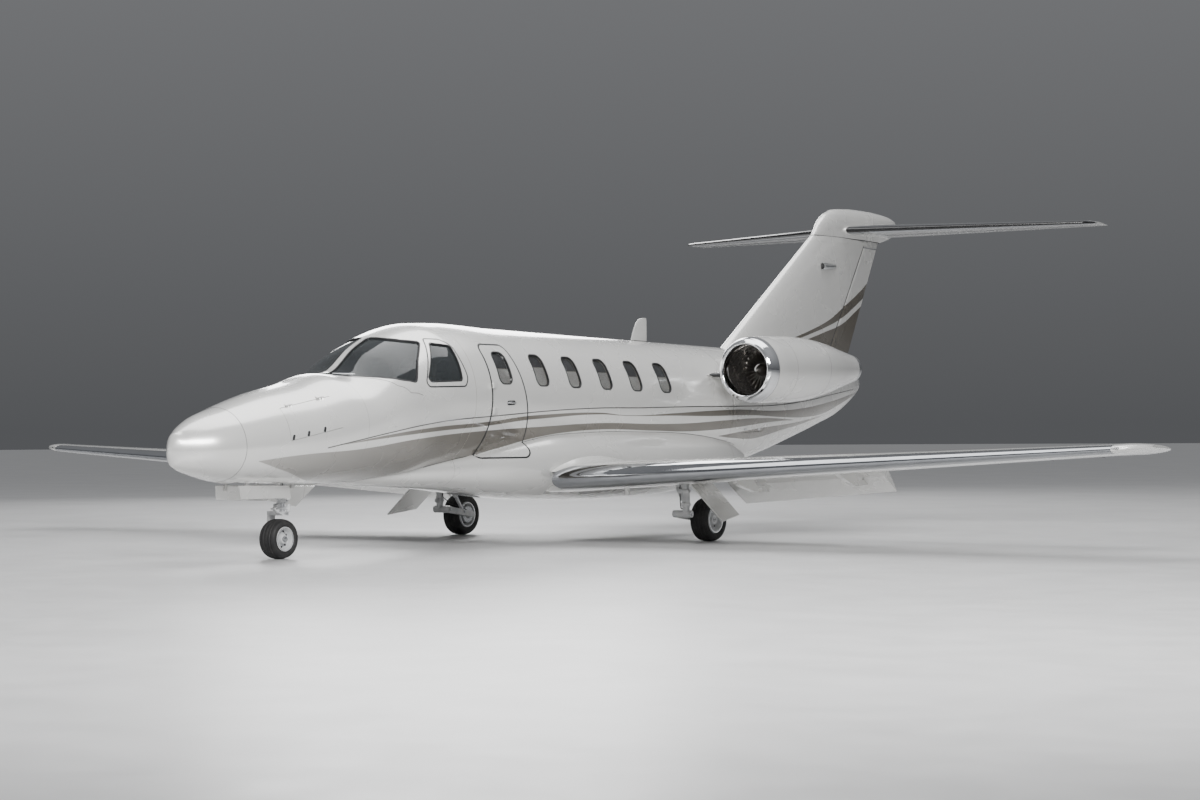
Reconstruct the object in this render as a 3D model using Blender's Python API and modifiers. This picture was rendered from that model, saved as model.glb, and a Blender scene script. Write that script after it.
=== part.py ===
"""Light twin-engined business jet, parked on its wheels, as an assembly of separate sub-parts.

Metres, +Z up. The nose points to -Y and the port side is +X. Z = 0 is the ground, X = 0 the plane of
symmetry. Along the aircraft, places are given as stations: metres aft of the nose tip.
"""
import math

import bmesh
import bpy
import numpy as np
from mathutils import Matrix, Vector

for old in list(bpy.data.objects):
    bpy.data.objects.remove(old, do_unlink=True)

# Driving dimensions
LENGTH = 15.59
SPAN = 16.26
HEIGHT = 4.62
GAP = 0.0003            # between pieces that touch
CLEARANCE = 0.006       # between pieces that move and their surroundings
FLAT_ANGLE = math.radians(0.2)
# Pieces whose cut faces are merged; the others meet a curved neighbour facet by facet
MERGED = ("cabin_shell", "cabin_door", "cabin_windows", "windshield", "door_window", "pylon",
          "rudder", "elevator", "tail_baggage", "instrument")

# Parked attitude: the airframe's reference line falls towards the tail
NOSE_UP = 0.021
BARREL_RADIUS = 0.865
BARREL_HEIGHT = 1.661   # centre of the round fuselage at REFERENCE_STATION
REFERENCE_STATION = 7.5

# Fuselage seams
RADOME_AFT = 0.68
NOSE_AFT = 2.24
COCKPIT_AFT = 3.98
CABIN_AFT = 9.45
SHELL = 0.055           # skin, frames and trim of the hollow fuselage
HULL_POINTS = 24

# Undercarriage
NOSE_AXLE = (-0.02, 1.662, 0.215)
MAIN_AXLE = (1.91, 7.187, 0.265)
NOSE_TYRE_WIDTH = 0.22
MAIN_TYRE_WIDTH = 0.235
LEG_STATION = 6.72

# Engines
ENGINE_X = 1.395
INLET_STATION = 8.872
INLET_HEIGHT = 2.113
FAN_RADIUS = 0.282
NACELLE_SIDES = 24
FAN_BLADES = 11
BLADE_TWIST = math.radians(16)

# Wing: leading edge, trailing edge and heights between the root and the tip rib
ROOT_X = 1.0
TIP_X = 7.8
LEADING_ROOT = 5.25
LEADING_TIP = 5.55
TRAILING_ROOT = 7.69
TRAILING_TIP = 6.50
WING_ROOT_HEIGHT = 0.78
WING_TIP_HEIGHT = 1.135
SLOPE_ROOT = 0.022      # fall of the section per metre of chord
SLOPE_TIP = 0.060
LEADING_PIECE = 0.11    # part of the chord that the metal leading edge takes
SURFACE_START = 0.73    # part of the chord where flap and aileron begin
FLAP_SPAN = (2.26, 4.52)
FLAP_BAY_END = 4.575    # the flap slides outboard as it goes down
AILERON_SPAN = (4.62, 7.55)
FLAP_DOWN = math.radians(35)
FLAP_DROP = 0.13        # hinge line below the lower skin

# Tail
TAIL_SPAN = 7.0
FIN_TOP = 4.17
ELEVATOR_START = 0.68

PARTS = bpy.data.collections.new("business_jet")
CUTTERS = bpy.data.collections.new("cutters")
bpy.context.scene.collection.children.link(PARTS)
bpy.context.scene.collection.children.link(CUTTERS)

# Name: colour, roughness, metallic
FINISHES = {
    "pearl": ((0.86, 0.86, 0.84), 0.22, 0.0),
    "polished": ((0.80, 0.81, 0.83), 0.12, 1.0),
    "steel": ((0.55, 0.56, 0.58), 0.30, 1.0),
    "tyre": ((0.02, 0.02, 0.02), 0.80, 0.0),
    "glass": ((0.10, 0.12, 0.14), 0.05, 0.0),
    "dark": ((0.05, 0.05, 0.06), 0.55, 0.0),
    "leather": ((0.62, 0.56, 0.47), 0.55, 0.0),
    "carpet": ((0.36, 0.32, 0.27), 0.90, 0.0),
    "titanium": ((0.33, 0.32, 0.32), 0.40, 1.0),
    "gear": ((0.75, 0.76, 0.76), 0.35, 0.3),
}


def finish(obj, kind):
    """Gives the object its own material."""
    colour, roughness, metallic = FINISHES[kind]
    material = bpy.data.materials.new(obj.name)
    material.use_nodes = True
    shader = material.node_tree.nodes["Principled BSDF"]
    shader.inputs["Base Color"].default_value = (*colour, 1.0)
    shader.inputs["Roughness"].default_value = roughness
    shader.inputs["Metallic"].default_value = metallic
    obj.data.materials.append(material)
    return obj


def add_object(name, mesh, kind):
    """Links a part, or a cutter where kind is None."""
    obj = bpy.data.objects.new(name, mesh)
    if kind is None:
        CUTTERS.objects.link(obj)
        obj.hide_render = True
        obj.display_type = "WIRE"
        return obj
    PARTS.objects.link(obj)
    return finish(obj, kind)


def close_mesh(name, form):
    """Turns a bmesh into a mesh whose faces point out."""
    bmesh.ops.recalc_face_normals(form, faces=form.faces)
    mesh = bpy.data.meshes.new(name)
    form.to_mesh(mesh)
    form.free()
    mesh.shade_smooth()
    mesh.set_sharp_from_angle(angle=math.radians(30))
    return mesh


def at(x, station, z):
    """World place of a point given by its station."""
    return Vector((x, station - LENGTH / 2, z))


def loft(name, rings, kind=None, wall=False):
    """Skins rings of equal length. A wall joins the last ring to the first, else both ends are capped."""
    form = bmesh.new()
    rows = [[form.verts.new(point) for point in ring] for ring in rings]
    count = len(rows[0])
    pairs = list(zip(rows[:-1], rows[1:]))
    if wall:
        pairs.append((rows[-1], rows[0]))
    else:
        form.faces.new(rows[0])
        form.faces.new(rows[-1])
    for first, second in pairs:
        for k in range(count):
            n = (k + 1) % count
            form.faces.new((first[k], first[n], second[n]))
            form.faces.new((first[k], second[n], second[k]))
    return add_object(name, close_mesh(name, form), kind)


def box(name, low, high, kind=None):
    """Box between two corners, each as x, station, z."""
    form = bmesh.new()
    bmesh.ops.create_cube(form, size=1.0)
    first, second = at(*low), at(*high)
    centre, size = (first + second) / 2, second - first
    bmesh.ops.transform(form, matrix=Matrix.Translation(centre) @ Matrix.Diagonal((*size, 1.0)),
                        verts=form.verts)
    return add_object(name, close_mesh(name, form), kind)


def rod(name, start, end, radius, kind=None, sides=12):
    """Round bar between two world points."""
    start, end = Vector(start), Vector(end)
    along = end - start
    form = bmesh.new()
    bmesh.ops.create_cone(form, cap_ends=True, segments=sides, radius1=radius, radius2=radius,
                          depth=along.length)
    turn = along.to_track_quat("Z", "Y").to_matrix().to_4x4()
    bmesh.ops.transform(form, matrix=Matrix.Translation((start + end) / 2) @ turn, verts=form.verts)
    return add_object(name, close_mesh(name, form), kind)


def bore_radius(radius, sides):
    """Radius of a faceted hole whose flats clear a round bar that turns in it."""
    return (radius + GAP) / math.cos(math.pi / sides)


def turned(name, profile, steps, kind=None):
    """Closed profile of radius and height, turned about the object's Z axis."""
    mesh = bpy.data.meshes.new(name)
    points = [(radius, 0.0, height) for radius, height in profile]
    edges = [(k, (k + 1) % len(points)) for k in range(len(points))]
    mesh.from_pydata(points, edges, [])
    obj = add_object(name, mesh, kind)
    screw = obj.modifiers.new("Turn", "SCREW")
    screw.angle = math.tau
    screw.steps = steps
    screw.render_steps = steps
    screw.use_merge_vertices = True
    screw.merge_threshold = 0.00005
    screw.use_smooth_shade = True
    return obj


def combine(obj, other, operation="DIFFERENCE"):
    """Adds an exact Boolean."""
    step = obj.modifiers.new(operation.title(), "BOOLEAN")
    step.operation = operation
    step.solver = "EXACT"
    step.object = other
    return obj


def merge_flat_faces(obj):
    """Drops the edges that Booleans leave across flat areas."""
    step = obj.modifiers.new("Flat", "DECIMATE")
    step.decimate_type = "DISSOLVE"
    step.angle_limit = FLAT_ANGLE
    return obj


def join(name, objects):
    """One cutter mesh from several closed cutters that stand apart."""
    form = bmesh.new()
    for obj in objects:
        part = obj.data.copy()
        part.transform(obj.matrix_basis)
        form.from_mesh(part)
        bpy.data.meshes.remove(part)
        bpy.data.objects.remove(obj, do_unlink=True)
    return add_object(name, close_mesh(name, form), None)


def set_origin(obj, origin, turn=Matrix.Identity(4)):
    """Moves the object's origin to a joint's axis and leaves its shape where it is."""
    place = Matrix.Translation(origin) @ turn
    obj.data.transform(place.inverted())
    obj.matrix_world = place
    return obj


def smooth_row(table, station):
    """Cubic through the table's rows, with the slopes of the neighbouring rows."""
    rows = np.array(table, float)
    places = rows[:, 0]
    k = int(np.clip(np.searchsorted(places, station) - 1, 0, len(places) - 2))
    slopes = np.gradient(rows, places, axis=0)
    step = places[k + 1] - places[k]
    t = (station - places[k]) / step
    first = (2 * t**3 - 3 * t**2 + 1) * rows[k] + (t**3 - 2 * t**2 + t) * step * slopes[k]
    second = (-2 * t**3 + 3 * t**2) * rows[k + 1] + (t**3 - t**2) * step * slopes[k + 1]
    return (first + second)[1:]


def barrel_height(station):
    """Height of the round fuselage's centre."""
    return BARREL_HEIGHT - NOSE_UP * (station - REFERENCE_STATION)


def barrel_row(station):
    centre = barrel_height(station)
    return (station, centre + BARREL_RADIUS, centre - BARREL_RADIUS, BARREL_RADIUS, centre)


# Fuselage sections: station, top, bottom, half width, height of the widest place
HULL = [
    (0.00, 1.200, 1.160, 0.012, 1.180),
    (0.04, 1.300, 1.055, 0.060, 1.180),
    (0.14, 1.385, 0.985, 0.160, 1.181),
    (0.35, 1.505, 0.920, 0.315, 1.184),
    (0.68, 1.618, 0.845, 0.455, 1.203),
    (1.20, 1.770, 0.808, 0.590, 1.250),
    (1.75, 1.890, 0.793, 0.690, 1.314),
    (2.10, 1.984, 0.790, 0.745, 1.388),
    (2.45, 2.025, 0.792, 0.797, 1.479),
    (2.80, 2.277, 0.797, 0.852, 1.612),
    (3.20, 2.463, 0.805, 0.863, 1.628),
    (3.60, 2.573, 0.835, 0.865, 1.726),
    barrel_row(COCKPIT_AFT),
    barrel_row(5.20),
    barrel_row(6.80),
    barrel_row(8.40),
    barrel_row(CABIN_AFT),
    (10.20, 2.470, 0.830, 0.815, 1.650),
    (11.10, 2.455, 0.990, 0.715, 1.710),
    (12.00, 2.440, 1.190, 0.590, 1.800),
    (12.80, 2.420, 1.375, 0.455, 1.880),
    (13.50, 2.360, 1.555, 0.315, 1.955),
    (13.95, 2.270, 1.740, 0.205, 2.005),
    (14.22, 2.140, 1.880, 0.110, 2.010),
    (14.36, 2.050, 1.970, 0.030, 2.010),
]


SEAMS = (RADOME_AFT, NOSE_AFT, COCKPIT_AFT, CABIN_AFT)
HULL_STATIONS = sorted({row[0] for row in HULL} | set(SEAMS))
HULL_ROWS = np.array([[s, *smooth_row(HULL, s)] for s in HULL_STATIONS])


def hull_row(station):
    """Top, bottom, half width and middle: straight between neighbouring rings, so that pieces match."""
    return [float(np.interp(station, HULL_ROWS[:, 0], HULL_ROWS[:, k])) for k in range(1, 5)]


def hull_point(station, angle, inset=0.0):
    """Point of the fuselage's skin. The angle is from port, upwards."""
    top, bottom, half_width, middle = hull_row(station)
    reach = top - middle if math.sin(angle) >= 0 else middle - bottom
    return at((half_width - inset) * math.cos(angle), station, middle + (reach - inset) * math.sin(angle))


def hull_ring(station, inset=0.0):
    return [hull_point(station, math.tau * k / HULL_POINTS, inset) for k in range(HULL_POINTS)]


def stations_between(first, last):
    """The two ends and the rings that lie between them."""
    return [first] + [s for s in HULL_STATIONS if first + 0.002 < s < last - 0.002] + [last]


def snapped(first, last):
    """Rings from the one before the first station to the one after the last."""
    low = max(s for s in HULL_STATIONS if s <= first)
    high = min(s for s in HULL_STATIONS if s >= last)
    return [s for s in HULL_STATIONS if low <= s <= high]


def hull_layer(name, first, last, outer, inner, kind=None):
    """Closed tube that follows the fuselage between two depths below its skin."""
    places = snapped(first, last)
    rings = [hull_ring(s, outer) for s in places] + [hull_ring(s, inner) for s in reversed(places)]
    return loft(name, rings, kind, wall=True)


def hull_solid(name, first, last):
    """Closed solid just outside the fuselage's skin, used to trim what sits on it."""
    return loft(name, [hull_ring(s, -GAP) for s in snapped(first, last)])


def angle_at(station, height):
    """Angle of the point of the port side at a height."""
    top, bottom, half_width, middle = hull_row(station)
    reach = top - middle if height >= middle else middle - bottom
    return math.asin(max(-1.0, min(1.0, (height - middle) / reach)))


def grow_outline(outline, amount):
    """Moves each corner of a flat outline out along its two sides' mean normal."""
    points = [Vector(p) for p in outline]
    area = sum(a.x * b.y - b.x * a.y for a, b in zip(points, points[1:] + points[:1]))
    sign = 1.0 if area > 0 else -1.0
    moved = []
    for k, point in enumerate(points):
        before = (point - points[k - 1]).normalized()
        after = (points[(k + 1) % len(points)] - point).normalized()
        normal = Vector((before.y + after.y, -before.x - after.x)) * sign
        normal.normalize()
        cosine = max(0.5, normal.dot(Vector((after.y, -after.x)) * sign))
        moved.append(point + normal * amount / cosine)
    return moved


def skin_prism(name, outline, out, depth, side=1, amount=0.0):
    """Cutter through the skin. The outline is in station and height, seen from the side."""
    rings = []
    for inset in (-out, depth):
        ring = []
        for station, height in grow_outline(outline, amount):
            point = hull_point(station, angle_at(station, height), inset)
            ring.append((side * point.x, point.y, point.z))
        rings.append(ring)
    return loft(name, rings)


def rounded(outline, radius, steps=2):
    """Flat outline with round corners."""
    points = [Vector(p) for p in outline]
    result = []
    for k, point in enumerate(points):
        before = (points[k - 1] - point).normalized()
        after = (points[(k + 1) % len(points)] - point).normalized()
        half = before.angle(after) / 2
        setback = radius / math.tan(half)
        centre = point + (before + after).normalized() * radius / math.sin(half)
        start = point + before * setback - centre
        end = point + after * setback - centre
        sweep = start.angle(end)
        for n in range(steps + 1):
            t = n / steps
            mixed = start * math.sin((1 - t) * sweep) + end * math.sin(t * sweep)
            result.append(tuple(centre + mixed / math.sin(sweep)))
    return result


# Nose

def radome():
    places = [s for s in HULL_STATIONS if s < RADOME_AFT - 0.05] + [RADOME_AFT - GAP]
    return loft("nose_cone", [hull_ring(s) for s in places], "pearl")


BAY_OUTLINE = [(1.20, 1.265), (1.88, 1.400), (1.88, 1.740), (1.20, 1.610)]
BAY_SKIN = 0.016
WELL_HALF_WIDTH = 0.155
NOSE_WELL = (0.82, 2.16)
NOSE_WELL_ROOF = 1.16


def nose_section():
    """Solid nose behind the radome, with the wheel well and the baggage bay."""
    places = stations_between(RADOME_AFT, NOSE_AFT - GAP)
    body = loft("nose_section", [hull_ring(s) for s in places], "pearl")
    well = box("nose_well_cutter", (-WELL_HALF_WIDTH, NOSE_WELL[0], 0.4),
               (WELL_HALF_WIDTH, NOSE_WELL[1], NOSE_WELL_ROOF))
    combine(body, well)
    rings = []
    for x in (-1.0, 1.0):
        rings.append([at(x, station, height) for station, height in BAY_OUTLINE])
    combine(body, loft("nose_bay_cutter", rings))
    for side, word in ((1, "left"), (-1, "right")):
        lid_anchors(body, f"nose_bay_{word}", BAY_OUTLINE, side)
    return body


LID_OFFSET = 0.012      # hinge line outside the skin
LID_KNUCKLES = (-0.22, 0.22)
KNUCKLE_RADIUS = 0.009
KNUCKLE_HALF = 0.03


def lid_hinge(outline, side):
    """Two points of the hinge line along the top edge of a lid in the fuselage's side."""
    points = []
    for station, height in (outline[3], outline[2]):
        point = hull_point(station, angle_at(station, height), -LID_OFFSET)
        points.append(Vector((side * point.x, point.y, point.z)))
    return points


def lid(name, outline, side, thick):
    """Curved lid in its opening, with knuckles along its top edge."""
    body = hull_layer(name, outline[0][0], outline[1][0], 0.0, thick, "pearl")
    shape = grow_outline(outline, -CLEARANCE)
    rings = [[at(side * x, station, height) for station, height in shape] for x in (0.05, 1.2)]
    combine(body, loft(name + "_outline", rings), "INTERSECT")
    first, last = lid_hinge(outline, side)
    along = (last - first).normalized()
    middle = (first + last) / 2
    for k, shift in enumerate(LID_KNUCKLES):
        centre = middle + along * shift
        ends = (centre - along * KNUCKLE_HALF, centre + along * KNUCKLE_HALF)
        combine(body, rod(f"{name}_knuckle_{k}", *ends, KNUCKLE_RADIUS, sides=8), "UNION")
        for n, reach in enumerate((-0.018, 0.018)):
            start = centre + along * reach
            station, height = start.y + LENGTH / 2, start.z - 0.036
            foot = hull_point(station, angle_at(station, height), thick / 2)
            foot.x *= side
            combine(body, rod(f"{name}_arm_{k}_{n}", start, foot, 0.005, sides=5), "UNION")
    return recentre(body, middle)


def lid_anchors(body, name, outline, side):
    """Fixed knuckles beside the lid's own, on feet that stand in the skin above the opening."""
    first, last = lid_hinge(outline, side)
    along = (last - first).normalized()
    for k, shift in enumerate(LID_KNUCKLES):
        near = (first + last) / 2 + along * (shift - KNUCKLE_HALF - GAP)
        far = near - along * 0.022
        combine(body, rod(f"{name}_anchor_{k}", near, far, KNUCKLE_RADIUS, sides=8), "UNION")
        start = (near + far) / 2
        station, height = start.y + LENGTH / 2, start.z + 0.036
        foot = hull_point(station, angle_at(station, height), 0.012)
        foot.x *= side
        combine(body, rod(f"{name}_anchor_foot_{k}", start, foot, 0.006, sides=6), "UNION")


# Cockpit

# Corners seen from the front, as x and height, in order round the opening
WINDSHIELD = [(0.060, 1.982), (0.40, 1.960), (0.792, 1.892), (0.49, 2.368), (0.047, 2.405)]
# Corners in station and height, seen from the side
SIDE_WINDOW = [(3.18, 1.905), (3.75, 1.925), (3.785, 2.32), (3.50, 2.345)]
GLASS_INSET = 0.003
GLASS_THICK = 0.014


def windshield_prism(name, side, amount=0.0):
    """Opening in front of a pilot, cut straight aft from the outline seen from the front."""
    outline = grow_outline(rounded(WINDSHIELD, 0.03, 2), amount)
    rings = [[at(side * x, station, z) for x, z in outline] for station in (NOSE_AFT + 0.02, 3.5)]
    return loft(name, rings)


def cockpit_shell():
    """Front of the cabin, with a bulkhead ahead of the pedals."""
    places = stations_between(NOSE_AFT, COCKPIT_AFT - GAP)
    inside = stations_between(NOSE_AFT + 0.09, COCKPIT_AFT - GAP)
    rings = [hull_ring(s) for s in places] + [hull_ring(s, SHELL) for s in reversed(inside)]
    body = loft("cockpit_shell", rings, "pearl")
    for side, word in ((1, "left"), (-1, "right")):
        combine(body, windshield_prism(f"windshield_cutter_{word}", side))
        outline = rounded(SIDE_WINDOW, 0.035)
        combine(body, skin_prism(f"side_window_cutter_{word}", outline, 0.10, 0.14, side))
    return body


def cockpit_glass(side, word):
    """Windshield half and side window of one side."""
    front = hull_layer(f"windshield_{word}", NOSE_AFT, 3.5, GLASS_INSET, GLASS_INSET + GLASS_THICK,
                       "glass")
    combine(front, windshield_prism(f"windshield_pane_{word}", side, -GAP), "INTERSECT")
    pane = hull_layer(f"side_window_{word}", 3.0, 3.85, GLASS_INSET, GLASS_INSET + GLASS_THICK, "glass")
    outline = rounded(SIDE_WINDOW, 0.035)
    combine(pane, skin_prism(f"side_window_pane_{word}", outline, 0.10, 0.14, side, -GAP), "INTERSECT")


# Cabin

DOOR_FRONT = 4.28
DOOR_REAR = 4.93        # at DOOR_MIDDLE; the rear edge leans forward
DOOR_LEAN = 0.22
DOOR_MIDDLE = 1.65
DOOR_BOTTOM = 1.05
DOOR_TOP = 2.345
DOOR_CORNER = 0.09
SKIRT_INSET = 0.01      # how deep the piece of belly fairing on the door sinks into it
HINGE_X = 0.884
HINGE_STATION = DOOR_FRONT - 0.012
WINDOW_PITCH = 0.653
WINDOW_FIRST = 5.165
WINDOW_LENGTH = 0.235
WINDOW_LOW = 1.835      # on the reference line's height at REFERENCE_STATION
WINDOW_HIGH = 2.195
DOOR_WINDOW_FRONT = 4.445
WINDOW_CORNER = 0.075


def skin_x(station, height):
    """Half width of the fuselage at a height."""
    return hull_point(station, angle_at(station, height)).x


def door_prism(name, amount=0.0):
    """Outline of the cabin door in plan at several heights: its rear edge is an arc about the hinge."""
    low, high = DOOR_BOTTOM - amount, DOOR_TOP + amount
    corner = DOOR_CORNER + amount
    edges = [corner * part for part in (0.0, 0.12, 0.35, 0.65, 1.0)]
    heights = [low + e for e in edges] + [1.45, 1.85] + [high - e for e in reversed(edges)]
    rings = []
    for height in heights:
        edge = min(height - low, high - height, corner)
        trim = corner - math.sqrt(corner**2 - (corner - edge)**2)
        front = DOOR_FRONT - amount + trim
        rear = DOOR_REAR - DOOR_LEAN * (height - DOOR_MIDDLE) + amount - trim
        reach = math.hypot(rear - HINGE_STATION, HINGE_X - skin_x(rear, height))
        ring = [at(0.98, front, height), at(0.40, front, height)]
        for x in (0.40, 0.47, 0.55, 0.63, 0.71, 0.79, 0.884, 0.98):
            ring.append(at(x, HINGE_STATION + math.sqrt(reach**2 - (HINGE_X - x)**2), height))
        rings.append(ring)
    return loft(name, rings)


def window_outline(front):
    """Rounded upright window of the cabin whose front edge is at a station."""
    slope = -NOSE_UP * (front - REFERENCE_STATION)
    low, high = WINDOW_LOW + slope, WINDOW_HIGH + slope
    corners = [(front, low), (front + WINDOW_LENGTH, low), (front + WINDOW_LENGTH, high), (front, high)]
    return rounded(corners, WINDOW_CORNER)


def window_fronts(side):
    """Front edges of the cabin windows: the port side has one fewer, which is in the door."""
    first = WINDOW_FIRST if side > 0 else WINDOW_FIRST - WINDOW_PITCH
    count = 5 if side > 0 else 6
    return [first + WINDOW_PITCH * k for k in range(count)]


def window_set(name, side, out, depth, amount):
    prisms = []
    for k, front in enumerate(window_fronts(side)):
        outline = window_outline(front)
        prisms.append(skin_prism(f"{name}_{k}", outline, out, depth, side, amount))
    return join(name, prisms)


def hinge_knuckle(name, low, high):
    return rod(name, at(HINGE_X, HINGE_STATION, low), at(HINGE_X, HINGE_STATION, high), 0.012)


KNUCKLES = [(1.55, 1.62), (1.84, 1.91)]
STRAP_IN = 0.835        # how deep the hinge straps reach into the wall


def hinge_strap(name, station, low, high):
    """Block from the hinge's pin into the wall on one side of the pin."""
    first, last = sorted((station, station + math.copysign(0.045, station - HINGE_STATION)))
    return box(name, (STRAP_IN, first, low), (HINGE_X + 0.006, last, high))


def cabin_shell():
    """Hollow round fuselage from the cockpit to the aft pressure bulkhead."""
    places = stations_between(COCKPIT_AFT, CABIN_AFT - GAP)
    inside = stations_between(COCKPIT_AFT, CABIN_AFT - 0.09)
    rings = [hull_ring(s) for s in reversed(places)] + [hull_ring(s, SHELL) for s in inside]
    body = loft("cabin_shell", rings, "pearl")
    combine(body, door_prism("door_opening"))
    for side, word in ((1, "left"), (-1, "right")):
        combine(body, window_set(f"window_openings_{word}", side, 0.05, 0.12, 0.0))
    for k, (low, high) in enumerate(KNUCKLES):
        for n, (start, end) in enumerate(((low - 0.03, low - GAP), (high + GAP, high + 0.03))):
            combine(body, hinge_knuckle(f"frame_knuckle_{k}_{n}", start, end), "UNION")
            strap = hinge_strap(f"frame_strap_{k}_{n}", HINGE_STATION - 0.002, start + 0.002, end - 0.002)
            combine(body, strap, "UNION")
    return body


def cabin_windows(side, word):
    """Panes of one side in their sleeves, held by the liner behind the wall."""
    fronts = window_fronts(side)
    first, last = fronts[0] - 0.10, fronts[-1] + WINDOW_LENGTH + 0.10
    name = f"cabin_windows_{word}"
    body = hull_layer(name, first - 0.2, last + 0.2, 0.003, SHELL + 0.005, "glass")
    combine(body, window_set(f"{name}_sleeves", side, 0.05, 0.12, -GAP), "INTERSECT")
    liner = hull_layer(f"{name}_liner", first - 0.1, last + 0.1, SHELL + GAP, SHELL + 0.010)
    slope_first, slope_last = (-NOSE_UP * (s - REFERENCE_STATION) for s in (first, last))
    low, high = WINDOW_LOW - 0.07, WINDOW_HIGH + 0.06
    corners = [(first, low + slope_first), (last, low + slope_last), (last, high + slope_last),
               (first, high + slope_first)]
    rings = [[at(side * x, s, z) for s, z in corners] for x in (0.3, 1.0)]
    combine(liner, loft(f"{name}_strip", rings), "INTERSECT")
    return combine(body, liner, "UNION")


def cabin_door():
    """Entry door, hinged at its front edge, with its window and its piece of the belly fairing."""
    body = hull_layer("cabin_door", 4.0, 5.1, 0.0, SHELL - 0.005, "pearl")
    skirt = loft("door_skirt", belly_rings())
    combine(skirt, loft("door_skirt_hull", [hull_ring(s, SKIRT_INSET) for s in snapped(2.0, 14.36)]))
    combine(body, skirt, "UNION")
    combine(body, door_prism("door_edge", -CLEARANCE), "INTERSECT")
    outline = window_outline(DOOR_WINDOW_FRONT)
    combine(body, skin_prism("door_window_opening", outline, 0.05, 0.12))
    for k, (low, high) in enumerate(KNUCKLES):
        combine(body, hinge_knuckle(f"door_knuckle_{k}", low, high), "UNION")
        strap = hinge_strap(f"door_strap_{k}", DOOR_FRONT + CLEARANCE + 0.002, low + 0.004, high - 0.004)
        combine(body, strap, "UNION")
        web = box(f"door_web_{k}", (HINGE_X - 0.009, HINGE_STATION, low + 0.005),
                  (HINGE_X + 0.005, DOOR_FRONT + CLEARANCE + 0.02, high - 0.005))
        combine(body, web, "UNION")
    set_origin(body, at(HINGE_X, HINGE_STATION, (DOOR_BOTTOM + DOOR_TOP) / 2))
    pane = hull_layer("door_window", 4.2, 4.9, 0.003, 0.040, "glass")
    combine(pane, skin_prism("door_window_edge", outline, 0.05, 0.12, 1, -GAP), "INTERSECT")


# Inside the cabin

FLOOR_DROP = 0.63       # floor below the barrel's centre
FLOOR_HALF_WIDTH = 0.455
FLOOR_THICK = 0.03
FLOOR_LEVEL_TO = 4.0    # ahead of this station the floor is level
SEAT_WIDTH = 0.44


def floor_height(station):
    return barrel_height(max(station, FLOOR_LEVEL_TO)) - FLOOR_DROP


def cabin_floor():
    """Floor board from the pedals to the aft bulkhead, parallel to the reference line."""
    rings = []
    for station, half in ((2.75, 0.34), (3.4, 0.44), (FLOOR_LEVEL_TO, 0.45), (4.3, FLOOR_HALF_WIDTH),
                          (CABIN_AFT - 0.09 - GAP, FLOOR_HALF_WIDTH - 0.03)):
        top = floor_height(station)
        rings.append([at(-half, station, top - FLOOR_THICK), at(half, station, top - FLOOR_THICK),
                      at(half, station, top), at(-half, station, top)])
    return loft("cabin_floor", rings, "carpet")


def seat_boxes(name, x, station, facing):
    """Base, cushion, back, head rest and arms of a seat. Facing is -1 towards the nose, 1 to the tail."""
    base = floor_height(station)
    pieces = []
    half = SEAT_WIDTH / 2

    def block(tag, low, high):
        front, rear = sorted((station - facing * low[1], station - facing * high[1]))
        pieces.append(box(f"{name}_{tag}", (x + low[0], front, base + low[2]),
                          (x + high[0], rear, base + high[2])))

    inner, outer = sorted((-math.copysign(0.23, x), math.copysign(0.03, x)))
    block("base", (inner, -0.20, 0.006), (outer, 0.18, 0.26))
    block("cushion", (-half, -0.27, 0.25), (half, 0.24, 0.40))
    block("back", (-half + 0.02, 0.15, 0.38), (half - 0.02, 0.29, 0.86))
    block("head", (-0.13, 0.17, 0.85), (0.13, 0.27, 1.02))
    return pieces


def seat_row(name, seats, rails):
    """Seats on shared floor rails, as one body. Each seat is x, station, facing."""
    first, last = rails
    top = floor_height(first) + GAP
    end = floor_height(last) + GAP
    rings = []
    for station, low in ((first, top), (last, end)):
        rings.append([at(-0.42, station, low), at(0.42, station, low),
                      at(0.42, station, low + 0.008), at(-0.42, station, low + 0.008)])
    body = loft(name, rings, "leather")
    for k, (x, station, facing) in enumerate(seats):
        for piece in seat_boxes(f"{name}_{k}", x, station, facing):
            combine(body, piece, "UNION")
    return body


CABIN_SEATS = [(0.44, 5.55, 1), (-0.44, 5.55, 1), (0.44, 6.75, -1), (-0.44, 6.75, -1),
               (0.44, 7.70, -1), (-0.44, 7.70, -1)]
CREW_SEATS = [(0.32, 3.52, -1), (-0.32, 3.52, -1)]


def instrument_panel():
    """Panel under its glare shield, with the pedestal down to the floor."""
    body = box("instrument_panel", (-0.60, 2.72, 1.52), (0.60, 2.80, 1.86), "dark")
    shield = loft("glare_shield", [
        [at(x, s, z) for s, z in ((2.56, 1.79), (2.90, 1.845), (2.90, 1.875), (2.56, 1.815))]
        for x in (-0.58, 0.58)])
    combine(body, shield, "UNION")
    pedestal = loft("pedestal", [
        [at(x, s, z) for s, z in ((2.76, floor_height(2.76) + GAP), (3.16, floor_height(3.16) + GAP),
                                  (3.16, 1.40), (2.79, 1.60))]
        for x in (-0.11, 0.11)])
    combine(body, pedestal, "UNION")
    return body


# Wing

def wing_row(x):
    """Leading station, chord, reference height and slope at a distance from the centre plane."""
    t = (abs(x) - ROOT_X) / (TIP_X - ROOT_X)
    leading = LEADING_ROOT + t * (LEADING_TIP - LEADING_ROOT)
    trailing = TRAILING_ROOT + t * (TRAILING_TIP - TRAILING_ROOT)
    height = WING_ROOT_HEIGHT + t * (WING_TIP_HEIGHT - WING_ROOT_HEIGHT)
    return leading, trailing - leading, height, SLOPE_ROOT + t * (SLOPE_TIP - SLOPE_ROOT)


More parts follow.
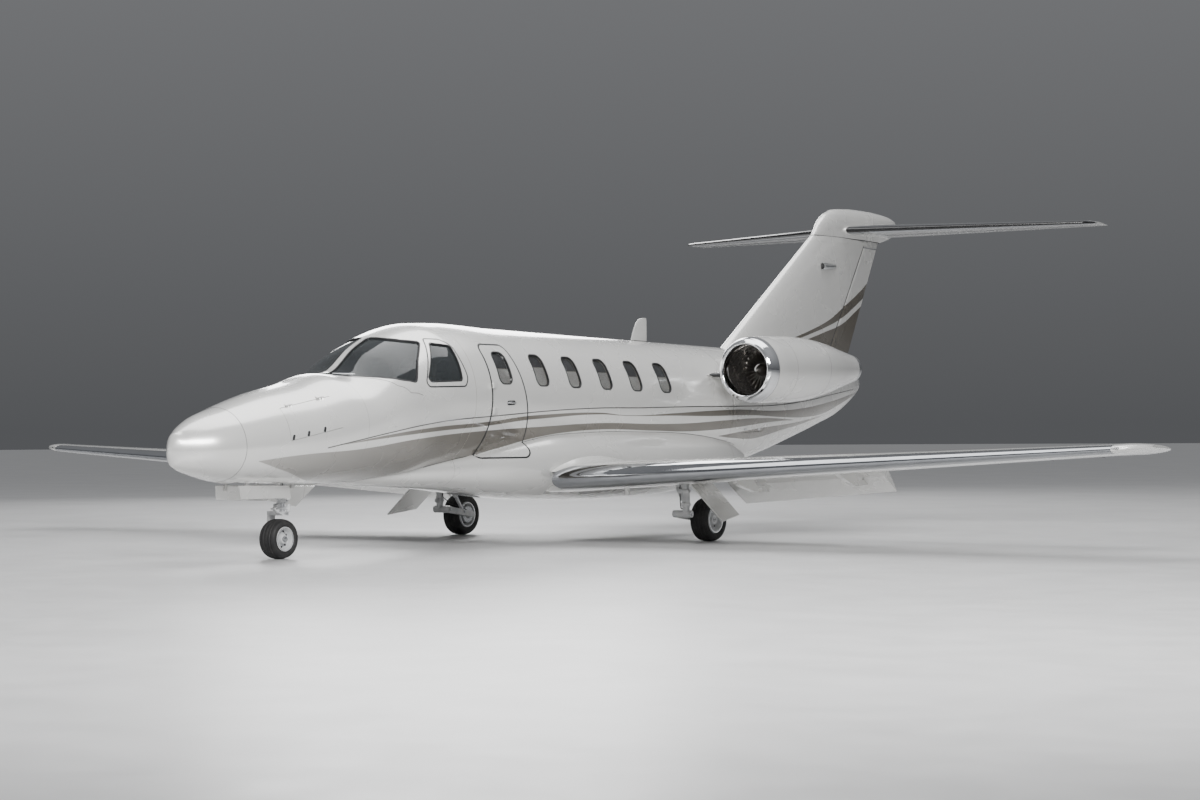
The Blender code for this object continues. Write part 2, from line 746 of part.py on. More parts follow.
def thickness(c, ratio):
    """Half thickness of a four-digit section with a closed trailing edge."""
    return 5 * ratio * (0.2969 * math.sqrt(c) - 0.1260 * c - 0.3516 * c**2 + 0.2843 * c**3 - 0.1036 * c**4)


TRAILING_EDGE = 0.003   # half thickness of the trailing edge, of the chord


def section_point(row, c, side, ratio, x, grown=0.0):
    """Point of a lifting surface's skin. Side is 1 on top and -1 below."""
    leading, chord, height, slope = row
    camber = 0.02 * 4 * c * (1 - c) * chord
    half = (thickness(c, ratio) + TRAILING_EDGE * c) * chord
    z = height + camber - slope * c * chord + side * (half + grown)
    rear = grown if c == 1.0 else 0.0
    return at(x, leading + c * chord + rear, z)


def chord_places(first, last, count):
    """Places along the chord, closer together at the leading edge."""
    low, high = math.acos(1 - 2 * first), math.acos(1 - 2 * last)
    return [(1 - math.cos(low + (high - low) * k / (count - 1))) / 2 for k in range(count)]


SECTION_PLACES = sorted(set(chord_places(0.0, 1.0, 12)) | {LEADING_PIECE})


def section(x, first, last, ratio, row=None, grown=0.0):
    """Closed ring of a section between two parts of the chord."""
    row = wing_row(x) if row is None else row
    places = [c for c in SECTION_PLACES if first <= c <= last]
    upper = [section_point(row, c, 1, ratio, x, grown) for c in reversed(places)]
    lower = [section_point(row, c, -1, ratio, x, grown) for c in places]
    if first == 0.0:
        nose = section_point(row, 0.0, 1, ratio, x)
        nose.y -= grown
        return upper[:-1] + [nose] + lower[1:]
    return upper + lower


def wing_ratio(x):
    return 0.140 - 0.025 * (abs(x) - ROOT_X) / (TIP_X - ROOT_X)


def tip_rows(side):
    """Rings that round the wing tip off beyond the tip rib."""
    leading, chord, height, slope = wing_row(TIP_X)
    rings = []
    reach = SPAN / 2 - TIP_X
    for t in (0.35, 0.65, 0.88, 1.0):
        shrink = math.sqrt(1 - (0.98 * t)**2)
        x = side * (TIP_X + t * reach)
        front = leading + 0.42 * (1 - shrink) * chord * 0.9
        row = (front, chord * (0.42 + 0.58 * shrink), height + 0.03 * t, slope)
        rings.append(section(x, 0.0, 1.0, 0.115 * (0.25 + 0.75 * shrink), row))
    return rings


def slab_cutter(name, inner, outer, start, side):
    """Takes the trailing part of the wing away between two spans."""
    rings = []
    for x in (inner, outer):
        leading, chord, height, _ = wing_row(x)
        front, rear = leading + start * chord, leading + chord + 0.3
        rings.append([at(side * x, front, height - 0.5), at(side * x, rear, height - 0.5),
                      at(side * x, rear, height + 0.5), at(side * x, front, height + 0.5)])
    return loft(name, rings)


WHEEL_WELL = ((1.12, 2.06), (6.46, 7.02))
WELL_ROOF = 0.86
JACK_PAD = (1.45, 6.12)
JACK_RADIUS = 0.035
JACK_FACE = 0.585
CENTRE_GAP = 0.0005
FLAP_ARMS = (2.75, 4.20)
ARM_HALF = 0.010


def flap_axis(x):
    """Point of the flap's hinge line, below the wing."""
    row = wing_row(x)
    point = section_point(row, SURFACE_START + 0.03, -1, wing_ratio(x), x)
    point.z -= FLAP_DROP
    return point


def flap_line(side):
    """Inner and outer point of the hinge line."""
    first, last = flap_axis(FLAP_SPAN[0]), flap_axis(FLAP_SPAN[1])
    return Vector((side * first.x, first.y, first.z)), Vector((side * last.x, last.y, last.z))


def on_line(line, x):
    first, last = line
    return first + (last - first) * (x - first.x) / (last.x - first.x)


def wing(side, word, hull):
    """Main wing box with fixed trailing edge, from the centre plane to the rounded tip."""
    name = f"wing_{word}"
    spans = (CENTRE_GAP, 0.55, ROOT_X, 2.6, 4.6, 6.2, TIP_X)
    rings = [section(side * x, LEADING_PIECE, 1.0, wing_ratio(x)) for x in spans]
    body = loft(name, rings, "pearl")
    tip = loft(f"{name}_tip", [section(side * TIP_X, 0.0, 1.0, wing_ratio(TIP_X))] + tip_rows(side))
    combine(body, tip, "UNION")
    combine(body, hull)
    combine(body, slab_cutter(f"{name}_flap_bay", FLAP_SPAN[0] - CLEARANCE, FLAP_BAY_END,
                              SURFACE_START - 0.006, side))
    combine(body, slab_cutter(f"{name}_aileron_bay", AILERON_SPAN[0] - CLEARANCE,
                              AILERON_SPAN[1] + CLEARANCE, SURFACE_START - 0.006, side))
    (inner, outer), (front, rear) = WHEEL_WELL
    combine(body, box(f"{name}_well", (side * inner, front, 0.4), (side * outer, rear, WELL_ROOF)))
    combine(body, rod(f"{name}_jack_pad", at(side * JACK_PAD[0], JACK_PAD[1], JACK_FACE),
                      at(side * JACK_PAD[0], JACK_PAD[1], 0.72), JACK_RADIUS, sides=24), "UNION")
    return body


def leading_edge(side, word):
    """Polished metal leading edge outboard of the root fairing."""
    rings = [section(side * x, 0.0, LEADING_PIECE, wing_ratio(x))
             for x in (1.02, 2.6, 4.6, 6.2, TIP_X - 0.001)]
    for ring in rings:
        for point in (ring[0], ring[-1]):
            point.y -= GAP
    return loft(f"wing_leading_edge_{word}", rings, "polished")


def surface_ring(x, side, start, row, ratio):
    """Ring of a control surface with a round nose."""
    upper = [section_point(row, c, 1, ratio, side * x) for c in (1.0, 0.9, start + 0.07)]
    lower = [section_point(row, c, -1, ratio, side * x) for c in (start + 0.07, 0.9, 1.0)]
    top, bottom = upper[-1], lower[0]
    middle = (top + bottom) / 2
    half = (top.z - bottom.z) / 2
    leading, chord = row[:2]
    front = at(side * x, leading + (start + 0.004) * chord, 0).y
    nose = []
    for angle in (60, 30, 0, -30, -60):
        turn = math.radians(angle)
        nose.append(Vector((side * x, middle.y - (middle.y - front) * math.cos(turn),
                            middle.z + half * math.sin(turn))))
    return upper + nose + lower


def flap(side, word):
    """Flap, lowered as it is parked, turned about the hinge line under the wing."""
    name = f"flap_{word}"
    spans = (FLAP_SPAN[0], 3.4, FLAP_SPAN[1])
    body = loft(name, [surface_ring(x, side, SURFACE_START, wing_row(x), wing_ratio(x)) for x in spans],
                "pearl")
    line = flap_line(side)
    for k, x in enumerate(FLAP_ARMS):
        pivot = on_line(line, side * x)
        row = wing_row(x)
        ratio = wing_ratio(x)
        top = section_point(row, 0.84, -1, ratio, side * x)
        high = section_point(row, 0.90, -1, ratio, side * x)
        rings = []
        for shift in (-ARM_HALF, ARM_HALF):
            points = ((pivot.y - 0.03, pivot.z), (pivot.y - 0.015, pivot.z - 0.028),
                      (pivot.y + 0.015, pivot.z - 0.028), (high.y, high.z + 0.012),
                      (top.y, top.z + 0.02), (pivot.y - 0.01, pivot.z + 0.028))
            rings.append([(side * x + shift, y, z) for y, z in points])
        arm = loft(f"{name}_arm_{k}", rings)
        combine(body, arm, "UNION")
        along = (line[1] - line[0]).normalized()
        combine(body, rod(f"{name}_eye_{k}", pivot - along * 0.05, pivot + along * 0.05,
                          bore_radius(0.008, 12)))
    axis = (line[1] - line[0]).normalized()
    middle = (line[0] + line[1]) / 2
    turn = Matrix.Rotation(-side * FLAP_DOWN, 4, axis)
    return lowered(body, middle, turn)


def lowered(body, middle, turn):
    """Sets the origin on the axis and turns the piece, and what cuts it, about that point."""
    body.data.transform(Matrix.Translation(-middle))
    place = Matrix.Translation(middle) @ turn
    body.matrix_world = place
    for step in body.modifiers:
        if step.object is not None:
            step.object.matrix_world = place @ Matrix.Translation(-middle) @ step.object.matrix_world
    return body


def flap_track(side, word, hull_wing):
    """Slim fairings under the wing, whose cheeks carry the flap's pins."""
    line = flap_line(side)
    along = (line[1] - line[0]).normalized()
    for k, x in enumerate(FLAP_ARMS):
        pivot = on_line(line, side * x)
        row = wing_row(x)
        ratio = wing_ratio(x)
        front = section_point(row, 0.50, -1, ratio, side * x)
        rear = section_point(row, SURFACE_START - 0.02, -1, ratio, side * x)
        rings = []
        for shift in (-0.032, 0.032):
            points = ((front.y, front.z + 0.012), (rear.y, rear.z + 0.012), (pivot.y + 0.028, pivot.z + 0.02),
                      (pivot.y + 0.026, pivot.z - 0.024), (pivot.y - 0.05, pivot.z - 0.030),
                      (front.y + 0.15, front.z - 0.055))
            rings.append([(side * x + shift, y, z) for y, z in points])
        combine(hull_wing, loft(f"track_{word}_{k}", rings), "UNION")
        slot_half = ARM_HALF + 0.006
        slot = loft(f"track_slot_{word}_{k}", [
            [(side * x + shift, y, z) for y, z in (
                (pivot.y - 0.055, pivot.z + 0.060), (pivot.y + 0.3, pivot.z + 0.060),
                (pivot.y + 0.3, pivot.z - 0.3), (pivot.y - 0.055, pivot.z - 0.3))]
            for shift in (-slot_half, slot_half)])
        combine(hull_wing, slot)
        combine(hull_wing, rod(f"track_pin_{word}_{k}", pivot - along * 0.026, pivot + along * 0.026, 0.008),
                "UNION")


def hinge_pins(body, ends, direction, radius=0.006, reach=0.022):
    """Stub pins on the axis at both ends of a control surface."""
    for k, (end, sign) in enumerate(zip(ends, (-1, 1))):
        start = end - direction * sign * 0.02
        combine(body, rod(f"{body.name}_pin_{k}", start, end + direction * sign * reach, radius, sides=10),
                "UNION")


def pin_holes(body, tag, ends, direction, radius=0.006, reach=0.022):
    for k, (end, sign) in enumerate(zip(ends, (-1, 1))):
        start = end - direction * sign * 0.02
        combine(body, rod(f"{tag}_hole_{k}", start, end + direction * sign * (reach + GAP),
                          bore_radius(radius, 10), sides=10))


def surface_axis(x, side, start, row, ratio):
    """Point of a control surface's hinge line: the middle of its thickness near the nose."""
    top = section_point(row, start + 0.07, 1, ratio, side * x)
    bottom = section_point(row, start + 0.07, -1, ratio, side * x)
    middle = (top + bottom) / 2
    leading, chord = row[:2]
    middle.y = at(0, leading + (start + 0.05) * chord, 0).y
    return middle


def aileron(side, word, body_wing):
    name = f"aileron_{word}"
    first, last = AILERON_SPAN
    spans = (first, (first + last) / 2, last)
    body = loft(name, [surface_ring(x, side, SURFACE_START, wing_row(x), wing_ratio(x)) for x in spans],
                "pearl")
    ends = [surface_axis(x, side, SURFACE_START, wing_row(x), wing_ratio(x)) for x in (first, last)]
    along = (ends[1] - ends[0]).normalized()
    hinge_pins(body, ends, along)
    pin_holes(body_wing, name, ends, along)
    return recentre(body, (ends[0] + ends[1]) / 2)


def recentre(body, middle):
    """Moves the origin of a piece with Booleans to its axis."""
    body.data.transform(Matrix.Translation(-middle))
    body.matrix_world = Matrix.Translation(middle)
    return body


BELLY_POINTS = 24

# Belly fairing: station, bottom, half width, middle height, top
BELLY = [
    (2.75, 0.765, 0.20, 0.86, 0.98),
    (3.40, 0.722, 0.40, 0.90, 1.06),
    (4.20, 0.668, 0.60, 0.93, 1.18),
    (4.80, 0.605, 0.79, 0.95, 1.32),
    (5.40, 0.545, 0.93, 0.95, 1.44),
    (6.20, 0.500, 0.985, 0.94, 1.50),
    (7.40, 0.488, 0.985, 0.93, 1.52),
    (8.40, 0.515, 0.960, 0.93, 1.50),
    (9.20, 0.590, 0.900, 0.93, 1.42),
    (9.65, 0.665, 0.835, 0.93, 1.32),
    (9.87, 0.740, 0.780, 0.93, 1.22),
]


def belly_rings():
    """Rings of the canoe under the fuselage."""
    rings = []
    for station, bottom, half, middle, top in BELLY:
        ring = []
        for k in range(BELLY_POINTS):
            turn = math.tau * k / BELLY_POINTS
            x = half * math.copysign(abs(math.cos(turn))**0.85, math.cos(turn))
            reach = top - middle if math.sin(turn) >= 0 else middle - bottom
            z = middle + reach * math.copysign(abs(math.sin(turn))**0.85, math.sin(turn))
            ring.append(at(x, station, z))
        rings.append(ring)
    return rings


def belly_fairing(hull):
    """Canoe that wraps the wing's centre, cut away where the entry door's skirt swings."""
    body = loft("belly_fairing", belly_rings(), "pearl")
    combine(body, hull)
    combine(body, door_prism("door_sweep"))
    for side, word in ((1, "left"), (-1, "right")):
        pocket = [section(side * x, 0.0, 1.0, wing_ratio(x), None, 0.0005)
                  for x in (-0.01, CENTRE_GAP, 0.55, ROOT_X, 2.6)]
        combine(body, loft(f"wing_pocket_{word}", pocket))
    return body


# Tail section, fin and rudder

BAY_DOOR = [(9.72, 1.30), (10.42, 1.32), (10.42, 1.80), (9.72, 1.78)]
BAY_DEPTH = 0.45


def tail_section():
    """Solid aft fuselage with the tail baggage bay on the port side."""
    places = [CABIN_AFT] + [s for s in HULL_STATIONS if s > CABIN_AFT + 0.1]
    body = loft("tail_section", [hull_ring(s) for s in places], "pearl")
    rings = [[at(x, s, z) for s, z in BAY_DOOR] for x in (0.85 - BAY_DEPTH, 1.2)]
    combine(body, loft("tail_bay_cutter", rings))
    lid_anchors(body, "tail_bay", BAY_DOOR, 1)
    return body


# Fin edges as station and height: leading edge from the root to the top, and the hinge of the rudder
FIN_LEADING = [(10.30, 2.30), (13.02, FIN_TOP)]
RUDDER_HINGE = [(13.24, 2.30), (14.56, FIN_TOP)]
RUDDER_TRAILING = [(13.97, 2.30), (15.02, FIN_TOP)]
FIN_RATIO = 0.095
RUDDER_LOW = 2.47
RUDDER_HIGH = 4.06
RUDDER_HEADROOM = 0.022     # the rudder tilts as it turns about its raked hinge


def edge_at(edge, height):
    (s0, z0), (s1, z1) = edge
    return s0 + (s1 - s0) * (height - z0) / (z1 - z0)


def fin_half(c, chord):
    return (thickness(c, FIN_RATIO) + 0.002 * c) * chord


def fin_ring(height):
    """Horizontal ring of the fin and rudder."""
    leading = edge_at(FIN_LEADING, height)
    chord = edge_at(RUDDER_TRAILING, height) - leading
    places = chord_places(0.0, 1.0, 12)
    port = [at(fin_half(c, chord), leading + c * chord, height) for c in reversed(places[1:])]
    nose = [at(0.0, leading, height)]
    other = [at(-fin_half(c, chord), leading + c * chord, height) for c in places[1:]]
    return port + nose + other


def rudder_part(height):
    """Part of the chord where the rudder's hinge lies."""
    leading = edge_at(FIN_LEADING, height)
    chord = edge_at(RUDDER_TRAILING, height) - leading
    return (edge_at(RUDDER_HINGE, height) - leading) / chord


def fin(hull):
    """Fin with the fixed pieces above and below the rudder."""
    heights = (2.30, 2.9, 3.5, FIN_TOP)
    body = loft("fin", [fin_ring(z) for z in heights], "pearl")
    combine(body, hull)
    rings = []
    for height in (RUDDER_LOW - 0.3, RUDDER_HIGH + RUDDER_HEADROOM):
        front = edge_at(RUDDER_HINGE, height) - 0.02
        rings.append([at(-0.3, front, height), at(0.3, front, height), at(0.3, front + 1.8, height),
                      at(-0.3, front + 1.8, height)])
    combine(body, loft("rudder_bay", rings))
    return body


def rudder(body_fin, body_tail):
    """Rudder with a round nose, turning about the raked hinge line."""
    rings = []
    for height in (RUDDER_LOW, 3.3, RUDDER_HIGH):
        leading = edge_at(FIN_LEADING, height)
        chord = edge_at(RUDDER_TRAILING, height) - leading
        part = rudder_part(height)
        port = [at(fin_half(c, chord), leading + c * chord, height) for c in (1.0, part + 0.02)]
        half = port[-1].x
        centre = leading + (part + 0.02) * chord
        reach = (part + 0.02) * chord + leading - (edge_at(RUDDER_HINGE, height) - 0.012)
        nose = [at(half * math.cos(math.radians(a)), centre - reach * math.sin(math.radians(a)), height)
                for a in (30, 60, 90, 120, 150)]
        other = [Vector((-p.x, p.y, p.z)) for p in reversed(port)]
        rings.append(port + nose + other)
    body = loft("rudder", rings, "pearl")
    ends = [at(0, edge_at(RUDDER_HINGE, z) + 0.035, z) for z in (RUDDER_LOW, RUDDER_HIGH)]
    along = (ends[1] - ends[0]).normalized()
    hinge_pins(body, ends, along, 0.010, 0.06)
    pin_holes(body_fin, "rudder_top", ends, along, 0.010, 0.06)
    pin_holes(body_tail, "rudder_foot", ends, along, 0.010, 0.06)
    return recentre(body, (ends[0] + ends[1]) / 2)


# Tailplane

TAIL_ROOT = (13.72, 1.42, 4.285, 0.021)     # leading station, chord, height, slope
TAIL_TIP = (15.02, 0.56, 4.305, 0.021)
TAIL_RATIO = 0.105
CAP_HALF_WIDTH = 0.155
ELEVATOR_SPAN = (0.20, 3.38)


def tail_row(x):
    t = abs(x) / (TAIL_SPAN / 2)
    return tuple(a + (b - a) * t for a, b in zip(TAIL_ROOT, TAIL_TIP))


def tailplane():
    """Both halves in one piece through the fairing on the fin."""
    rings = []
    half = TAIL_SPAN / 2
    for x in (-half, -half + 0.03, -half + 0.10, 0.0, half - 0.10, half - 0.03, half):
        edge = half - abs(x)
        shrink = 1.0 if edge > 0.09 else 0.35 + 0.65 * math.sqrt(edge / 0.10)
        leading, chord, height, slope = tail_row(x)
        row = (leading + (1 - shrink) * 0.35 * chord, chord * (1 - 0.35 * (1 - shrink)), height, slope)
        rings.append(section(x, 0.0, 1.0, TAIL_RATIO * shrink, row))
    body = loft("tailplane", rings, "pearl")
    for side, word in ((1, "left"), (-1, "right")):
        rings = []
        for x in (ELEVATOR_SPAN[0] - CLEARANCE, ELEVATOR_SPAN[1] + CLEARANCE):
            leading, chord, height, _ = tail_row(x)
            front = leading + (ELEVATOR_START - 0.012) * chord
            rings.append([at(side * x, front, height - 0.3), at(side * x, front + 2, height - 0.3),
                          at(side * x, front + 2, height + 0.3), at(side * x, front, height + 0.3)])
        combine(body, loft(f"elevator_bay_{word}", rings))
    return body


def elevator(side, word, body_tailplane):
    name = f"elevator_{word}"
    first, last = ELEVATOR_SPAN
    spans = (first, (first + last) / 2, last)
    body = loft(name, [surface_ring(x, side, ELEVATOR_START, tail_row(x), TAIL_RATIO) for x in spans],
                "pearl")
    ends = [surface_axis(x, side, ELEVATOR_START, tail_row(x), TAIL_RATIO) for x in (first, last)]
    along = (ends[1] - ends[0]).normalized()
    hinge_pins(body, ends, along)
    pin_holes(body_tailplane, name, ends, along)
    return recentre(body, (ends[0] + ends[1]) / 2)


CAP_POINTS = 16

# Fin cap: height, front, rear and half width of each level
CAP = [
    (FIN_TOP + GAP, 13.02, 15.06, 0.110),
    (4.26, 13.10, 15.40, 0.135),
    (4.36, 13.18, 15.55, 0.150),
    (4.46, 13.30, 15.59, 0.145),
    (4.54, 13.46, 15.50, 0.118),
    (4.595, 13.70, 15.20, 0.075),
    (HEIGHT, 14.05, 14.85, 0.030),
]


def fin_cap():
    """Bullet fairing over the joint of fin and tailplane."""
    rings = []
    for height, front, rear, half in CAP:
        ring = []
        for k in range(CAP_POINTS):
            turn = math.tau * k / CAP_POINTS
            c = (1 - math.cos(turn)) / 2
            width = half * abs(math.sin(turn))**0.8 * (1 - 0.45 * c)
            ring.append(at(math.copysign(width, math.sin(turn)) if abs(math.sin(turn)) > 0.01 else 0.0,
                           front + c * (rear - front), height))
        rings.append(ring)
    body = loft("fin_cap", rings, "pearl")
    spans = (0.10 - TAIL_SPAN / 2, 0.0, TAIL_SPAN / 2 - 0.10)
    pocket = [section(x, 0.0, 1.0, TAIL_RATIO, tail_row(x), 0.0010) for x in spans]
    combine(body, loft("tailplane_pocket", pocket))
    return body


# Engines

# Outer skin of the nacelle: distance aft of the inlet, radius
NACELLE_OUTER = [(0.000, 0.352), (0.015, 0.378), (0.060, 0.405), (0.22, 0.430), (0.60, 0.441),
                 (1.05, 0.438), (1.50, 0.410), (1.95, 0.347), (2.35, 0.268), (2.76, 0.185)]
# Duct, from the nozzle forward
NACELLE_INNER = [(2.76, 0.172), (2.35, 0.235), (1.80, 0.300), (1.20, 0.320), (0.86, 0.290),
                 (0.38, 0.290), (0.20, 0.302), (0.045, 0.318), (0.010, 0.330)]
FAN_PLACE = 0.46
TURN_AFT = Matrix.Rotation(math.radians(90) + NOSE_UP, 4, "X")


def engine_place(side):
    return Matrix.Translation(at(side * ENGINE_X, INLET_STATION, INLET_HEIGHT)) @ TURN_AFT


def nacelle(side, word):
    """Cowl and duct as one hollow body. The object's Z axis points out of the inlet."""
    profile = [(radius, -aft) for aft, radius in NACELLE_OUTER + NACELLE_INNER]
    body = turned(f"nacelle_{word}", profile, NACELLE_SIDES, "pearl")
    body.matrix_world = engine_place(side)
    return body


def fan(side, word):
    """Spinner, blades and shaft about the engine's axis."""
    count = FAN_BLADES * 4

    def star(height, twist, root, tip):
        ring = []
        for k in range(count):
            radius = tip if k % 4 in (1, 2) else root
            spread = (0.0, 0.13, 0.34, 0.47)[k % 4]
            turn = math.tau * (k // 4 + spread) / FAN_BLADES + twist
            ring.append((radius * math.cos(turn), radius * math.sin(turn), height))
        return ring

    rings = [star(-0.30, 0.0, 0.030, 0.030), star(-0.060, 0.0, 0.030, 0.030), star(-0.059, 0.0, 0.085, 0.085),
             star(-0.035, 0.0, 0.085, FAN_RADIUS), star(0.035, BLADE_TWIST, 0.080, FAN_RADIUS),
             star(0.060, BLADE_TWIST, 0.076, 0.076), star(0.12, BLADE_TWIST, 0.055, 0.055),
             star(0.165, BLADE_TWIST, 0.022, 0.022)]
    body = loft(f"fan_{word}", rings, "titanium")
    body.matrix_world = engine_place(side) @ Matrix.Translation((0, 0, -FAN_PLACE))
    return body


# Block behind the fan: distance aft of the inlet, radius, outer side first and then the shaft's bore
CORE = [(0.62, 0.10), (0.66, 0.2897), (0.84, 0.2897), (0.95, 0.245), (1.70, 0.225), (2.30, 0.120),
        (2.70, 0.040), (2.72, 0.010), (1.00, 0.010), (0.99, 0.0305), (0.62, 0.0305)]


def engine_core(side, word):
    body = turned(f"engine_core_{word}", [(radius, -aft) for aft, radius in CORE], NACELLE_SIDES,
                  "steel")
    body.matrix_world = engine_place(side)
    return body


# Pylon section: station and height along its middle, and half thickness
PYLON = [(8.98, 0.004), (9.10, 0.035), (9.45, 0.068), (10.10, 0.085), (10.80, 0.070), (11.35, 0.035),
         (11.60, 0.006)]
PYLON_HEIGHT = 2.075


def pylon(side, word, hull):
    """Stub between fuselage and nacelle, trimmed to both."""
    rings = []
    for x, lower in ((0.40, 0.02), (1.30, 0.0)):
        upper = [at(side * x, s, PYLON_HEIGHT - NOSE_UP * (s - 9.0) + half - lower) for s, half in PYLON]
        below = [at(side * x, s, PYLON_HEIGHT - NOSE_UP * (s - 9.0) - half - lower)
                 for s, half in reversed(PYLON)]
        rings.append(upper + below)
    body = loft(f"pylon_{word}", rings, "pearl")
    combine(body, hull)
    outline = [(0.004, 0.004)] + [(radius + GAP, -aft) for aft, radius in NACELLE_OUTER] + [(0.004, -2.76)]
    cowl = turned(f"cowl_cutter_{word}", outline, NACELLE_SIDES)
    cowl.matrix_world = engine_place(side)
    combine(body, cowl)
    return body


# Undercarriage

def wheel_profile(radius, width, rim, bore):
    """Half section of a tyre on its rim, as radius and height, outer side first."""
    half = width / 2
    shoulder = radius - 0.30 * (radius - rim)
    return [(radius, half * 0.42), (radius, -half * 0.42), (shoulder, -half * 0.96),
            (rim + 0.02, -half * 0.98), (rim - 0.010, -half * 0.74), (rim * 0.80, -half * 0.42),
            (rim * 0.42, -half * 0.42), (rim * 0.40, -half * 0.70), (bore, -half * 0.70),
            (bore, half * 0.70), (rim * 0.40, half * 0.70), (rim * 0.42, half * 0.42),
            (rim * 0.80, half * 0.42), (rim - 0.010, half * 0.74), (rim + 0.02, half * 0.98),
            (shoulder, half * 0.96)]


AXLE_RADIUS = 0.022
WHEEL_SIDES = 20


def wheel(name, centre, width, rim):
    """Tyre and rim in one piece, free to turn on its axle."""
    radius = centre[2]
    bore = bore_radius(AXLE_RADIUS, WHEEL_SIDES)
    body = turned(name, wheel_profile(radius, width, rim, bore), WHEEL_SIDES, "tyre")
    body.matrix_world = Matrix.Translation(at(*centre)) @ Matrix.Rotation(math.radians(90), 4, "Y")
    return body


STRUT_STATION = 1.70
STRUT_FOOT = 0.60
PISTON_RADIUS = 0.028


def nose_strut():
    """Fixed cylinder of the nose leg, hung from the roof of its well by a trunnion and a brace."""
    top = NOSE_WELL_ROOF - GAP
    body = rod("nose_strut", at(0, STRUT_STATION, STRUT_FOOT), at(0, STRUT_STATION, top), 0.042, "gear", 16)
    beam = rod("nose_trunnion", at(-WELL_HALF_WIDTH + GAP, STRUT_STATION + 0.004, 1.06),
               at(WELL_HALF_WIDTH - GAP, STRUT_STATION + 0.004, 1.06), 0.028, sides=10)
    combine(body, beam, "UNION")
    brace = rod("nose_brace", at(0, STRUT_STATION - 0.01, 0.82), at(0, 1.16, top - 0.025), 0.020, sides=11)
    combine(body, brace, "UNION")
    collar = rod("nose_collar", at(0, STRUT_STATION, 0.62), at(0, STRUT_STATION, 0.69), 0.058, sides=17)
    combine(body, collar, "UNION")
    combine(body, rod("nose_bore", at(0, STRUT_STATION, 0.5), at(0, STRUT_STATION, 0.75),
                      bore_radius(PISTON_RADIUS, 14), sides=14))
    return body


def nose_fork():
    """Piston, half fork on the starboard side of the wheel, and axle. It turns with the steering."""
    radius = NOSE_AXLE[2]
    side = NOSE_AXLE[0] - NOSE_TYRE_WIDTH / 2 - 0.030
    crown = 2 * radius + 0.035
    body = rod("nose_fork", at(0, STRUT_STATION, crown + 0.01), at(0, STRUT_STATION, 0.75 - GAP),
               PISTON_RADIUS, "gear", 14)
    combine(body, box("fork_crown", (side - 0.018, STRUT_STATION - 0.050, crown),
                      (0.045, STRUT_STATION + 0.050, crown + 0.045)), "UNION")
    leg = loft("fork_leg", [
        [at(x, s, z) for x, s in ((side - 0.018, s0), (side + 0.018, s0), (side + 0.018, s1),
                                  (side - 0.018, s1))]
        for s0, s1, z in ((STRUT_STATION - 0.045, STRUT_STATION + 0.045, crown + 0.02),
                          (NOSE_AXLE[1] - 0.035, NOSE_AXLE[1] + 0.035, radius - 0.035))])
    combine(body, leg, "UNION")
    combine(body, rod("nose_axle", at(side, NOSE_AXLE[1], radius),
                      at(NOSE_AXLE[0] + NOSE_TYRE_WIDTH / 2 * 0.80, NOSE_AXLE[1], radius), AXLE_RADIUS,
                      sides=16), "UNION")
    return recentre(body, at(0, STRUT_STATION, crown))


def main_leg(side, word):
    """Leg with its trailing arm and shock strut, as one fixed body."""
    x, axle_station, axle_height = MAIN_AXLE
    name = f"main_leg_{word}"
    arm_x = x - MAIN_TYRE_WIDTH / 2 - 0.040
    foot = 0.345
    body = rod(name, at(side * (x - 0.02), LEG_STATION, foot), at(side * (x - 0.02), LEG_STATION,
               WELL_ROOF - GAP), 0.044, "gear", 14)
    combine(body, rod(f"{name}_trunnion", at(side * (x - 0.02), WHEEL_WELL[1][0] + GAP, 0.80),
                      at(side * (x - 0.02), WHEEL_WELL[1][1] - GAP, 0.80), 0.030, sides=12), "UNION")
    combine(body, rod(f"{name}_knuckle", at(side * (x + 0.06), LEG_STATION, foot),
                      at(side * (arm_x - 0.035), LEG_STATION, foot), 0.045, sides=12), "UNION")
    arm = loft(f"{name}_arm", [
        [at(side * (arm_x + dx), station, height + dz)
         for dx, dz in ((-0.028, -half), (0.028, -half), (0.028, half), (-0.028, half))]
        for station, height, half in ((LEG_STATION - 0.01, foot, 0.042),
                                      (axle_station + 0.04, axle_height, 0.034))])
    combine(body, arm, "UNION")
    shock_top = at(side * arm_x, LEG_STATION + 0.02, 0.70)
    combine(body, rod(f"{name}_shock", at(side * arm_x, 7.02, 0.31), shock_top, 0.024, sides=12), "UNION")
    combine(body, rod(f"{name}_lug", shock_top + Vector((0, 0, -0.01)),
                      at(side * (x - 0.02), LEG_STATION, 0.70), 0.024, sides=12), "UNION")
    combine(body, rod(f"{name}_axle", at(side * arm_x, axle_station, axle_height),
                      at(side * (x + MAIN_TYRE_WIDTH / 2 * 0.80), axle_station, axle_height), AXLE_RADIUS,
                      sides=16), "UNION")
    return body


def plate(name, corners, thick, kind):
    """Flat plate in the plane of its first, second and last corner, each as x, station, z."""
    points = [at(*corner) for corner in corners]
    normal = (points[1] - points[0]).cross(points[-1] - points[0]).normalized()
    flat = [p - normal * normal.dot(p - points[0]) for p in points]
    half = normal * thick / 2
    return loft(name, [[p - half for p in flat], [p + half for p in flat]], kind)


def door_bracket(body, tag, side, wall, reach, station, levels):
    """L bracket: a tab on the well's wall, and a foot that goes under the wall's edge into the door."""
    low, bend, high = levels
    tab = box(f"{tag}_tab", (side * (wall - 0.015), station, low), (side * wall, station + 0.04, high))
    foot = box(f"{tag}_foot", (side * (wall - 0.0145), station + 0.002, low + 0.001),
               (side * reach, station + 0.038, bend))
    combine(body, tab, "UNION")
    combine(body, foot, "UNION")


